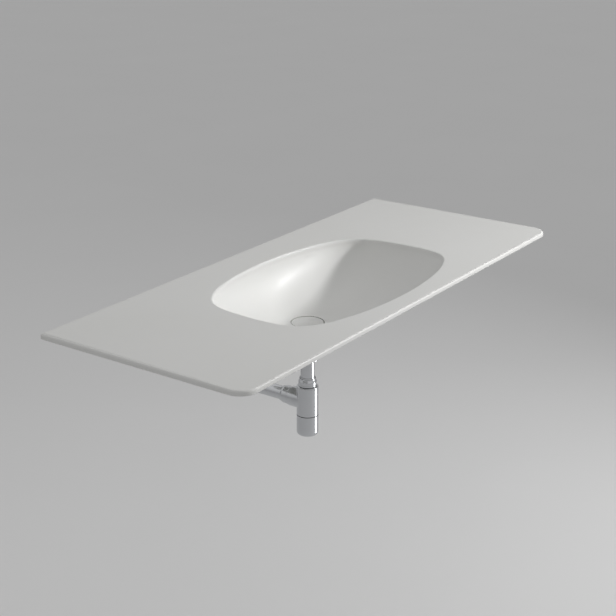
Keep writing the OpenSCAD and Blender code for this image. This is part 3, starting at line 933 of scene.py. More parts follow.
@dataclass
class Basin:
    """Ceramic in one piece: the slab, the dished bowl, the plate against the wall and the ribs."""

    thickness: float = 12 * MM
    edge: float = 4 * MM
    front_corner: float = 38 * MM
    back_corner: float = 6 * MM
    bowl_length: float = 586 * MM
    front_land: float = 46.5 * MM
    back_land: float = 89.5 * MM
    widest: float = 301 * MM
    depth: float = 116 * MM
    wall: float = 12 * MM
    rim: float = 4 * MM
    squareness: float = 7.2
    front_bow: float = 0.297
    back_bow: float = 0.243
    end_bow: float = 0.068
    front_fullness: float = 1.06
    back_fullness: float = 1.6
    slope_power: float = 1.75
    floor_land: float = 4 * MM
    recess_r: float = 38.5 * MM
    recess_depth: float = 8 * MM
    boss_height: float = 14 * MM
    boss_step: float = 3 * MM
    hole_r: float = 23 * MM
    plate_thickness: float = 14 * MM
    plate_length: float = 660 * MM
    plate_top_length: float = 1040 * MM
    plate_height: float = 110 * MM
    plate_end_height: float = 45 * MM
    rib_thickness: float = 12 * MM
    rib_step: float = 4 * MM
    inner_rib_reach: float = 420 * MM
    outer_rib_reach: float = 360 * MM
    outer_rib_x: float = 495 * MM
    sleeve_hole_r: float = 10.8 * MM
    plate_foot_round: float = 14 * MM
    plate_edge_round: float = 3 * MM
    belly_cove_size: float = 8 * MM
    belly_cove_reach: float = 6 * MM
    wall_cove_size: float = 6 * MM
    recess_round: float = 0.6 * MM
    rib_cove: float = 4 * MM
    rib_round: float = 3 * MM
    # How far a solid is sunk in the one that it stands on
    sunk: float = 1 * MM
    around: int = 360
    roll_steps: int = 12
    side_steps: int = 44
    rib_steps: int = 24
    hole_steps: int = 72
    front_steps: int = 18
    edge_steps: int = 8
    arc_steps: int = 6
    # Share of the side at which the rolled rim ends
    roll_end: float = 0.985
    # Width kept flat beside each rounding
    hold: float = 3 * MM

    def __post_init__(self) -> None:
        """Reads the slab's place from the frame and works out the bowl's heights."""
        self.low, self.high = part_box("basin")
        self.deck = self.high.z
        self.under = self.deck - self.thickness
        self.floor = self.deck - self.depth
        self.belly = self.floor - self.wall
        self.seat = self.floor - self.recess_depth
        self.boss = self.seat - self.boss_height
        self.width = self.high.y - self.low.y
        self.waste = Room.of("waste_body").centre.xy
        self.floor_r = self.recess_r + self.floor_land

    def outline(self, t: float, grow: float) -> Vector:
        """Point of the bowl's outline in plan.

        Args:
            t: Direction, in radians.
            grow: How far the outline is drawn out.

        Returns:
            The point's X and Y.
        """
        c, s = math.cos(t), math.sin(t)
        r = (abs(c) ** self.squareness + abs(s) ** self.squareness) ** (-1 / self.squareness)
        u, v = r * c, r * s
        if v > 0:
            reach, bow = self.widest - self.back_land, self.back_bow
        else:
            reach, bow = self.width - self.front_land - self.widest, self.front_bow
        return Vector((
            (self.bowl_length / 2 + grow) * u * (1 - self.end_bow * v * v),
            (reach + grow) * v * (1 - bow * u * u) - self.widest))

    def fullness(self, p: Vector) -> float:
        """Tells how full the slope is in one direction.

        Args:
            p: Direction from the waste, in plan.

        Returns:
            The slope's power: the higher, the fuller the bowl.
        """
        w = (1 - p.y / p.length) / 2
        return self.back_fullness + (self.front_fullness - self.back_fullness) * w * w

    def side(self, t: float, s: float, grow: float, top: float, foot: float) -> Vector:
        """Point of the bowl's side.

        Args:
            t: Direction of the outline's point, in radians.
            s: Share of the way from the flat floor, 0, to the rim, 1.
            grow: How far the side is drawn out.
            top: Height of the rim.
            foot: Height of the floor.

        Returns:
            The point.
        """
        p = self.outline(t, grow) - self.waste
        inner = (self.floor_r + grow) / p.length
        q = self.waste + p * (inner + s * (1 - inner))
        fall = (1 - s**self.slope_power) ** (1 / self.fullness(p))
        return Vector((*q, top + (foot - top) * fall))

    def inside(self, t: float, s: float) -> Vector:
        """Point of the bowl's inner side."""
        return self.side(t, s, 0.0, self.deck - self.rim, self.floor)

    def outside(self, t: float, s: float) -> Vector:
        """Point of the bowl's outer side, the belly."""
        return self.side(t, s, self.wall, self.deck - self.thickness / 2, self.belly)

    def ring(self, place: Callable[[float], Vector]) -> Ring:
        """Ring of points, one for each direction."""
        return [place(math.tau * k / self.around) for k in range(self.around)]

    def round_ring(self, r: float, z: float) -> Ring:
        """Circle about the waste whose points lie in the directions of the bowl's outline."""
        return self.ring(lambda t: Vector((
            *(self.waste + (self.outline(t, 0.0) - self.waste).normalized() * r), z)))

    @staticmethod
    def bend(start: Vector, leave: Vector, end: Vector, arrive: Vector, u: float) -> Vector:
        """Point of the smooth curve between two points.

        Args:
            start: First point.
            leave: Direction in which the curve leaves it.
            end: Last point.
            arrive: Direction in which the curve comes to it.
            u: Share of the way.

        Returns:
            The point.
        """
        fullness = 1.1
        size = (end - start).length * fullness
        a, b = leave.normalized() * size, arrive.normalized() * size
        return (
            start * (2 * u**3 - 3 * u**2 + 1) + a * (u**3 - 2 * u**2 + u)
            + end * (3 * u**2 - 2 * u**3) + b * (u**3 - u**2))

    def rolled_rim(self, t: float, u: float) -> Vector:
        """Point of the rim, which rolls the deck over into the bowl.

        Args:
            t: Direction of the outline's point, in radians.
            u: Share of the way from the deck, 0, to the bowl's side, 1.

        Returns:
            The point.
        """
        start = Vector((*self.outline(t, self.rim), self.deck))
        inward = Vector((*self.outline(t, 0.0), self.deck)) - start
        end = self.inside(t, self.roll_end)
        down = self.inside(t, self.roll_end - self.floor_land) - end
        return self.bend(start, inward, end, down, u)

    def belly_share(self, t: float, z: float) -> float:
        """Share of the belly's side at which it reaches a height.

        Args:
            t: Direction of the outline's point, in radians.
            z: The height.

        Returns:
            The share.
        """
        top = self.deck - self.thickness / 2
        full = self.fullness(self.outline(t, self.wall) - self.waste)
        return (1 - ((top - z) / (top - self.belly)) ** full) ** (1 / self.slope_power)

    def belly_end(self, t: float) -> float:
        """Share of the belly's side at which the hollow corner starts."""
        return self.belly_share(t, self.under - self.belly_cove_size)

    def belly_cove(self, t: float, u: float) -> Vector:
        """Point of the hollow corner between the belly and the slab.

        Args:
            t: Direction of the outline's point, in radians.
            u: Share of the way from the belly, 0, to the slab, 1.

        Returns:
            The point.
        """
        start = self.outside(t, self.belly_end(t))
        rise = start - self.outside(t, self.belly_end(t) - self.floor_land)
        top = self.outside(t, self.belly_share(t, self.under))
        outward = Vector((*(self.outline(t, self.wall) - self.waste).normalized(), 0.0))
        return self.bend(start, rise, top + outward * self.belly_cove_reach, outward, u)

    def dish_rings(self) -> list[Ring]:
        """Draws the bowl from the deck down to its flat floor.

        Returns:
            The rings.
        """
        rings = [self.ring(lambda t: Vector((*self.outline(t, self.rim + self.hold), self.deck)))]
        for k in range(self.roll_steps):
            rings.append(self.ring(lambda t, u=k / self.roll_steps: self.rolled_rim(t, u)))
        for a in quarter_turn(self.side_steps):
            rings.append(self.ring(lambda t, s=self.roll_end * math.cos(a): self.inside(t, s)))
        return rings

    def waste_rings(self) -> list[Ring]:
        """Draws the waste's recess, its hole and the boss under it.

        Returns:
            The rings, from the bowl's floor down and out to the belly.
        """
        soft = self.recess_round
        boss_r = self.floor_r + self.boss_step
        path = soften([
            (0.0, self.floor), (self.recess_r, self.floor, soft), (self.recess_r, self.seat, soft),
            (self.hole_r, self.seat, soft), (self.hole_r, self.boss, soft), (boss_r, self.boss, 2 * soft),
            (boss_r, self.belly, 4 * soft), (self.floor_r + self.wall, self.belly)])
        return [self.round_ring(p.x, p.y) for p in path[1:-1]]

    def belly_rings(self) -> list[Ring]:
        """Draws the belly from its flat foot out and up to the slab's underside.

        Returns:
            The rings.
        """
        rings = []
        for a in quarter_turn(self.side_steps)[:-1]:
            rings.append(self.ring(lambda t, u=math.sin(a): self.outside(t, self.belly_end(t) * u)))
        for k in range(self.roll_steps + 1):
            rings.append(self.ring(lambda t, u=k / self.roll_steps: self.belly_cove(t, u)))
        outer = rings[-1]
        rings.append([p + Vector((*(p.xy - self.waste).normalized(), 0.0)) * self.hold / 2 for p in outer])
        return rings

    def slab(self) -> Piece:
        """Makes the flat slab with round corners and rolled edges, open where the bowl comes.

        Returns:
            The slab.
        """
        middle = Vector((*((self.low + self.high) / 2).xy, self.deck))
        piece = add("basin_slab", bpy.ops.mesh.primitive_plane_add, size=1.0, location=middle)
        edit(piece, whole=True)
        size = (self.high.x - self.low.x, self.width, 1.0)
        bpy.ops.transform.resize(value=size, center_override=middle)
        front = (self.low.y, self.front_corner, self.front_steps)
        back = (self.high.y, self.back_corner, self.edge_steps)
        for side, radius, steps in (front, back):
            round_off(piece, Element.POINT, lambda point, y=side: abs(point.co.y - y) < TOUCH, radius, steps)
        bpy.ops.mesh.select_all(action="SELECT")
        bpy.ops.mesh.extrude_region_move(TRANSFORM_OT_translate={"value": (0, 0, -self.thickness)})
        round_off(
            piece, Element.EDGE, lambda edge: abs(edge.verts[0].co.z - edge.verts[1].co.z) < TOUCH,
            self.edge, self.edge_steps)
        for level in (self.deck, self.under):
            choose(piece, Element.FACE, lambda face, z=level: abs(face.calc_center_median().z - z) < TOUCH)
            bpy.ops.mesh.inset(thickness=self.hold)
            bpy.ops.mesh.delete(type="ONLY_FACE")
        pick(piece)
        return piece

    def wall_plate(self) -> Piece:
        """Makes the plate that stands against the wall, with a hole for each bolt's sleeve.

        Returns:
            The plate.
        """
        top = self.under + self.edge
        corner, foot = self.deck - self.plate_end_height, self.deck - self.plate_height
        half, top_half = self.plate_length / 2, self.plate_top_length / 2
        right = [(half, foot), (top_half, corner), (top_half, top)]
        shape = [(-x, z) for x, z in reversed(right)] + right
        piece = add(
            "basin_plate", bpy.ops.mesh.primitive_circle_add, vertices=len(shape), radius=MM,
            fill_type="NGON")
        place_points(piece, [(x, -self.plate_thickness, z) for x, z in shape])
        round_off(
            piece, Element.POINT, lambda point: point.co.z < top - TOUCH, self.plate_foot_round,
            self.edge_steps)
        bpy.ops.mesh.select_all(action="SELECT")
        bpy.ops.mesh.extrude_region_move(TRANSFORM_OT_translate={"value": (0, self.plate_thickness, 0)})
        front = -self.plate_thickness
        round_off(
            piece, Element.EDGE, lambda edge: all(abs(point.co.y - front) < TOUCH for point in edge.verts),
            self.plate_edge_round, ARC_STEPS)
        bpy.ops.mesh.select_all(action="SELECT")
        bpy.ops.mesh.normals_make_consistent(inside=False)
        pick(piece)
        for place in WallHangers.places():
            drill = add(
                "sleeve_hole", bpy.ops.mesh.primitive_cylinder_add, vertices=self.hole_steps,
                radius=self.sleeve_hole_r, depth=4 * self.plate_thickness, location=place,
                rotation=Axis.INTO_WALL.lay)
            combine(piece, drill, Combine.CUT)
        return piece

    def cove_strip(self) -> Piece:
        """Makes the hollow corner between the wall plate and the slab.

        Returns:
            The strip.
        """
        radius, sunk = self.wall_cove_size, self.sunk
        y, z = -self.plate_thickness, self.under
        arc = [
            (y - radius + radius * math.cos(a), z - radius + radius * math.sin(a))
            for a in quarter_turn(self.edge_steps)]
        section = [(y + sunk, z + sunk), (y + sunk, z - radius), *arc, (y - radius, z + sunk)]
        half = self.plate_top_length / 2 - radius
        return loft("basin_cove", [[Vector((x, *p)) for p in section] for x in (-half, half)], capped=True)

    def rib(self, name: str, x: float, height: float, reach: float) -> Piece:
        """Rib under the slab that runs out from the wall plate to nothing.

        Args:
            name: Name of the rib.
            x: Its place along the wall.
            height: Depth of its foot below the deck, at the wall.
            reach: Its reach from the wall.

        Returns:
            The rib.
        """
        sunk, least = self.sunk / 2, 0.3 * MM
        half = self.rib_thickness / 2
        begin = self.plate_thickness / 2
        full = height - self.thickness

        def section(y: float, h: float) -> Ring:
            """Draws the rib's section, with hollow corners at the slab and a round foot.

            Args:
                y: Place out from the wall.
                h: Height of the rib there.

            Returns:
                The section's points.
            """
            cove, foot = min(self.rib_cove, h / 2), min(self.rib_round, h / 4)
            angles = quarter_turn(self.arc_steps)
            right = [(half + cove, self.under + sunk)]
            right += [
                (half + cove - cove * math.sin(a), self.under - cove + cove * math.cos(a))
                for a in angles]
            right += [
                (half - foot + foot * math.cos(a), self.under - h + foot - foot * math.sin(a))
                for a in angles]
            left = [(-dx, z) for dx, z in reversed(right)]
            return [Vector((x + dx, y, z)) for dx, z in right + left]

        rings = [section(-begin, full)]
        for k in range(self.rib_steps + 1):
            y = -self.plate_thickness - (reach - self.plate_thickness) * k / self.rib_steps
            rings.append(section(y, max(full * (1 - k / self.rib_steps), least)))
        return loft(name, rings, capped=True)

    def build(self) -> None:
        """Builds the ceramic and stands it in for the construction's basin."""
        bowl = loft("basin_bowl", self.dish_rings() + self.waste_rings() + self.belly_rings())
        ware = gather("basin_ware", [bowl, self.slab()])
        for level in (self.deck, self.under):
            edit(ware)
            choose(ware, Element.EDGE, lambda edge, z=level: edge.is_boundary and all(
                abs(point.co.z - z) < TOUCH for point in edge.verts))
            bpy.ops.mesh.fill(use_beauty=True)
        close_up(ware)
        inner_x = self.plate_length / 2 - self.rib_thickness
        parts = [self.wall_plate(), self.cove_strip()]
        for side, word in ((-1, "left"), (1, "right")):
            parts.append(self.rib(
                f"inner_rib_{word}", side * inner_x, self.plate_height - self.rib_step, self.inner_rib_reach))
            parts.append(self.rib(
                f"outer_rib_{word}", side * self.outer_rib_x, self.plate_end_height + self.rib_step,
                self.outer_rib_reach))
        fit(gather("basin_ware", [ware, *(close_up(part) for part in parts)]), GLAZE, "basin")


@dataclass
class WallHangers:
    """Four hanger bolts in the wall, each with its sleeve, washer, nut and cap."""

    screw_r: float = 5 * MM
    screw_root: float = 3.5 * MM
    screw_pitch: float = 4 * MM
    screw_start: float = 1 * MM
    screw_length: float = 60 * MM
    tip_r: float = 0.3 * MM
    thread_r: float = 4.7 * MM
    thread_root: float = 4.05 * MM
    thread_pitch: float = 1.5 * MM
    thread_start: float = 0.4 * MM
    neck: float = 6 * MM
    sleeve_r: float = 10.6 * MM
    flange_r: float = 13.6 * MM
    flange_thickness: float = 3 * MM
    washer_r: float = 15 * MM
    nut_flats: float = 17 * MM
    cap_wall: float = 1.6 * MM
    cap_play: float = 0.5 * MM
    cap_round: float = 3.5 * MM
    bead: float = 0.4 * MM
    bead_height: float = 2.5 * MM

    @staticmethod
    def places() -> list[Vector]:
        """Reads where each bolt crosses the wall's face from the record's bolt patterns.

        Returns:
            The places, from left to right.
        """
        rows = [m for m in frame["record"]["mounts"] if m["kind"] == "bolt_pattern"]
        xs = sorted(side * m["dims"]["spacing_x_mm"] * MM / 2 for m in rows for side in (-1, 1))
        return [Vector((x, 0.0, 0.0)) for x in xs]

    def room(self, node: str, radius: float) -> Room:
        """Room of one of a node's four solids, moved to the origin."""
        return replace(Room.of(node, Axis.INTO_WALL), centre=Vector((0, 0, 0)), radius=radius)

    def bolt(self) -> Piece:
        """Makes a hanger bolt: metric thread at one end, wood screw at the other.

        Returns:
            The bolt, about the origin.
        """
        room = self.room("hanger_bolts", self.screw_r)
        shank = turn("bolt_shank", [
            (0, room.start), (self.thread_root, room.start, SOFT),
            (self.thread_root, -self.neck), (self.thread_root + PLAY, -self.neck + PLAY),
            (self.thread_root + PLAY, 0), (self.screw_root, PLAY),
            (self.screw_root, self.screw_length), (self.tip_r, room.end, self.tip_r / 3),
            (0, room.end)], room)
        fine = thread(
            "bolt_thread", self.thread_root, self.thread_r, self.thread_pitch,
            room.start + self.thread_start, -self.neck, room)
        coarse = thread(
            "bolt_screw", self.screw_root, self.screw_r, self.screw_pitch,
            self.screw_start, self.screw_length, room)
        return gather("hanger_bolt", [shank, fine, coarse])

    def sleeve(self) -> Piece:
        """Makes a nylon sleeve with its flange on the plate's front.

        Returns:
            The sleeve, about the origin.
        """
        room = self.room("bolt_sleeves", self.flange_r)
        bore = self.thread_r + PLAY
        step = room.start + self.flange_thickness
        return turn("bolt_sleeve", [
            (bore, room.start, EASED), (self.flange_r, room.start, 0.8 * MM),
            (self.flange_r, step, EASED), (self.sleeve_r, step),
            (self.sleeve_r, room.end, 1 * MM), (bore, room.end, EASED)], room)

    def cap(self) -> Piece:
        """Makes a cap over the nut, with a domed end and a bead round its mouth.

        Returns:
            The cap, about the origin.
        """
        room = self.room("nut_caps", self.nut_flats / math.sqrt(3) + self.cap_play + self.cap_wall)
        bore = room.radius - self.cap_wall
        side, bead = room.radius - self.bead, room.end - self.bead_height
        return turn("nut_cap", [
            (0, room.start), (side, room.start, self.cap_round), (side, bead - SOFT, FINE),
            (room.radius, bead, FINE), (room.radius, room.end, EASED), (bore, room.end, CRISP),
            (bore, room.start + self.cap_wall, 1 * MM), (0, room.start + self.cap_wall)], room)

    def build(self) -> None:
        """Builds one set and copies it to each bolt."""
        bore = self.thread_r + PLAY
        nut = self.room("bolt_nuts", self.nut_flats / 2)
        patterns = [
            (self.bolt(), ZINC, "hanger_bolts"),
            (self.sleeve(), NYLON, "bolt_sleeves"),
            (washer("bolt_washer", bore, self.room("bolt_washers", self.washer_r)), ZINC, "bolt_washers"),
            (hexagon("bolt_nut", self.nut_flats, bore, nut), ZINC, "bolt_nuts"),
            (self.cap(), NYLON, "nut_caps")]
        for pattern, finish, node in patterns:
            for number, place in enumerate(self.places(), 1):
                fit(twin(pattern, f"{pattern.name}_{number}", place), finish, node)
            bpy.data.objects.remove(pattern)


@dataclass
class Waste:
    """Waste body through the bowl's floor, clamped by its locknut."""

    tail_bore: float = 18 * MM
    flange_thickness: float = 2.5 * MM
    spider_width: float = 4 * MM
    hub_r: float = 8 * MM
    hub_bore: float = 4.1 * MM
    hub_height: float = 6 * MM
    stud: float = 2 * MM
    thread_depth: float = 0.8 * MM
    thread_pitch: float = 2.3 * MM
    thread_start: float = 0.5 * MM
    mouth_width: float = 2.5 * MM
    mouth_depth: float = 2 * MM
    arms: int = 4
    arm_round: float = 0.7 * MM
    arm_steps: int = 3
    arm_sunk: float = 1 * MM
    locknut_flats: float = 56 * MM

    def body(self) -> Piece:
        """Makes the threaded tube with its flange, and the spider that holds the cartridge.

        Returns:
            The waste body.
        """
        room = Room.of("waste_body")
        locknut = Room.of("waste_locknut")
        thread_top = Room.of("slide_washer").end
        root = TAIL_R - self.thread_depth
        lip = room.end - self.flange_thickness
        tube = turn("waste_tube", [
            (self.tail_bore, room.start, FINE), (root, room.start, FINE),
            (root, thread_top), (TAIL_R, thread_top + self.thread_depth),
            (TAIL_R, lip, EASED), (room.radius, lip, SOFT),
            (room.radius, room.end, 1.1 * MM), (self.tail_bore + self.mouth_width, room.end, 1 * MM),
            (self.tail_bore, room.end - self.mouth_depth, 1 * MM)], room)
        wound = thread(
            "waste_thread", root, TAIL_R, self.thread_pitch,
            room.start + self.thread_start, locknut.end, room)
        foot = Room.of("cartridge_body").start + self.stud
        hub = turn("waste_hub", [
            (self.hub_bore, foot, FINE), (self.hub_r, foot, 0.8 * MM),
            (self.hub_r, foot + self.hub_height, 0.8 * MM),
            (self.hub_bore, foot + self.hub_height, FINE)], room)
        arms = [self.arm(room, foot, k) for k in range(self.arms)]
        return gather("waste_body_plated", [tube, wound, hub, *arms])

    def arm(self, room: Room, foot: float, number: int) -> Piece:
        """Makes one of the spider's arms, its ends sunk in the hub and in the tube's wall.

        Args:
            room: Room of the waste body.
            foot: Height of the arm's underside.
            number: Which arm, counted from +X.

        Returns:
            The arm.
        """
        begin, end = self.hub_r - self.arm_sunk, self.tail_bore + self.arm_sunk / 2
        angle = number * math.tau / self.arms
        out = Vector((math.cos(angle), math.sin(angle), 0))
        across = Vector((-out.y, out.x, 0))
        piece = add(f"waste_arm_{number}", bpy.ops.mesh.primitive_cube_add, size=1.0)
        place_points(piece, [
            room.centre + out * (begin + (end - begin) * (x + 0.5)) + across * self.spider_width * y
            + Vector((0, 0, foot + self.hub_height * (z + 0.5)))
            for x, y, z in (point.co for point in piece.data.vertices)])
        bpy.ops.mesh.bevel(offset=self.arm_round, segments=self.arm_steps, affect="EDGES")
        return close_up(piece)

    def build(self) -> None:
        """Builds the waste and what clamps it to the bowl."""
        bore = TAIL_R + PLAY
        fit(self.body(), CHROME, "waste_body")
        fit_ring("flange_gasket_ring", RUBBER, "flange_gasket", bore)
        fit_ring("bowl_gasket_ring", RUBBER, "under_gasket", bore, 1.2 * MM)
        fit_ring("slide_washer_ring", NYLON, "slide_washer", bore, EASED)
        nut = hexagon("locknut_hexagon", self.locknut_flats, bore, Room.of("waste_locknut"))
        fit(nut, BRASS, "waste_locknut")


@dataclass
class Plug:
    """Push-open plug: its ceramic cover, carrier, seal and stem, and the cartridge that it slides in."""

    cover_crown: float = 2.4 * MM
    cover_edge: float = 1.2 * MM
    crown_steps: int = 24
    play: float = 0.3 * MM
    boss_r: float = 5 * MM
    carrier_thickness: float = 2.5 * MM
    seal_width: float = 5 * MM
    seal_lip: float = 0.3 * MM
    stem_r: float = 3 * MM
    piston_height: float = 4 * MM
    latch_groove: float = 0.4 * MM
    body_wall: float = 1.8 * MM
    body_lip: float = 2 * MM
    stud_r: float = 4 * MM
    stud_length: float = 8 * MM
    grips: int = 5
    grip_start: float = 4 * MM
    grip_step: float = 1.2 * MM
    grip_depth: float = 0.35 * MM
    wire_r: float = 0.5 * MM
    wire_steps: int = 14
    coil_turns: int = 5

    def cover(self) -> Piece:
        """Makes the slightly domed ceramic cover, hollow under for the carrier.

        Returns:
            The cover.
        """
        room, carrier = Room.of("plug_cover"), Room.of("plug_carrier")
        inner = carrier.radius + self.play
        edge = room.end - self.cover_crown
        flat = room.radius - self.cover_edge
        dome = [
            (flat * k / self.crown_steps, room.end - self.cover_crown * (k / self.crown_steps) ** 2)
            for k in range(self.crown_steps - 1, -1, -1)]
        return turn("waste_cover", [
            (0, carrier.end), (inner, carrier.end, FINE), (inner, room.start, FINE),
            (room.radius, room.start, 0.6 * MM), (room.radius, edge, self.cover_edge), *dome], room)

    def carrier(self) -> Piece:
        """Makes the nylon disc with a groove for the seal and a boss for the stem.

        Returns:
            The carrier.
        """
        room, seal = Room.of("plug_carrier"), Room.of("plug_seal")
        stem = Room.of("plug_stem")
        under = room.end - self.carrier_thickness
        seal_bore = seal.radius - self.seal_width
        hole = self.stem_r + PLAY / 2
        return turn("cover_carrier", [
            (0, stem.end), (hole, stem.end), (hole, room.start, CRISP),
            (self.boss_r, room.start, 0.6 * MM), (self.boss_r, under, SOFT),
            (seal_bore, under, CRISP), (seal_bore, seal.end), (seal.radius, seal.end),
            (seal.radius, under, CRISP), (room.radius, under, SOFT),
            (room.radius, room.end, SOFT), (0, room.end)], room)

    def seal(self) -> Piece:
        """Makes the rubber ring with a lip that meets the flange.

        Returns:
            The seal.
        """
        room = Room.of("plug_seal")
        bore = room.radius - self.seal_width
        middle, lip = (bore + room.radius) / 2, room.start + self.seal_lip
        return turn("cover_seal", [
            (bore, lip, 0.1 * MM), (middle, room.start, SOFT), (room.radius, lip, 0.1 * MM),
            (room.radius, room.end, CRISP), (bore, room.end, CRISP)], room)

    def stem(self) -> Piece:
        """Makes the steel stem with its piston and a latch groove.

        Returns:
            The stem.
        """
        room = Room.of("plug_stem")
        piston_top = room.start + self.piston_height
        groove = room.start + 0.5 * self.piston_height
        cut = self.latch_groove
        return turn("cover_stem", [
            (0, room.start), (room.radius, room.start, EASED), (room.radius, groove - cut),
            (room.radius - cut, groove - cut / 2), (room.radius - cut, groove + cut / 2),
            (room.radius, groove + cut), (room.radius, piston_top, EASED),
            (self.stem_r, piston_top, EASED), (self.stem_r, room.end, EASED), (0, room.end)], room)

    def cartridge(self) -> Piece:
        """Makes the brass cartridge with a grip band and the stud that holds it in the waste's hub.

        Returns:
            The cartridge.
        """
        room, spring = Room.of("cartridge_body"), Room.of("cartridge_spring")
        foot = room.start + self.stud_length
        bore = room.radius - self.body_wall
        lip = self.stem_r + PLAY
        cut = self.grip_depth
        grips: list[Corner] = []
        for k in range(self.grips):
            h = foot + self.grip_start + self.grip_step * k
            grips += [
                (room.radius, h), (room.radius - cut, h + cut / 2),
                (room.radius - cut, h + 1.5 * cut), (room.radius, h + 2 * cut)]
        return turn("cartridge_case", [
            (0, room.start), (self.stud_r, room.start, SOFT), (self.stud_r, foot),
            (room.radius, foot, SOFT), *grips, (room.radius, room.end, 0.8 * MM),
            (lip, room.end, FINE), (lip, room.end - self.body_lip, CRISP),
            (bore, room.end - self.body_lip, FINE), (bore, spring.start, FINE),
            (0, spring.start)], room)

    def spring(self) -> None:
        """Winds and dresses the coil spring under the piston."""
        room = Room.of("cartridge_spring")
        coil_r = room.radius - self.wire_r
        rise = (room.end - room.start - 2 * self.wire_r) / self.coil_turns
        section = [
            (coil_r + self.wire_r * math.cos(a), room.start + self.wire_r * (1 + math.sin(a)))
            for a in (math.tau * k / self.wire_steps for k in range(self.wire_steps))]
        piece = wind("plug_spring", section, rise, self.coil_turns, room)
        dress(piece, ZINC, "cartridge_spring")
        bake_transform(piece)

    def build(self) -> None:
        """Builds the plug and its cartridge."""
        fit(self.cover(), GLAZE, "plug_cover")
        fit(self.carrier(), NYLON, "plug_carrier")
        fit(self.seal(), RUBBER, "plug_seal")
        fit(self.stem(), ZINC, "plug_stem")
        fit(self.cartridge(), BRASS, "cartridge_body")
        self.spring()


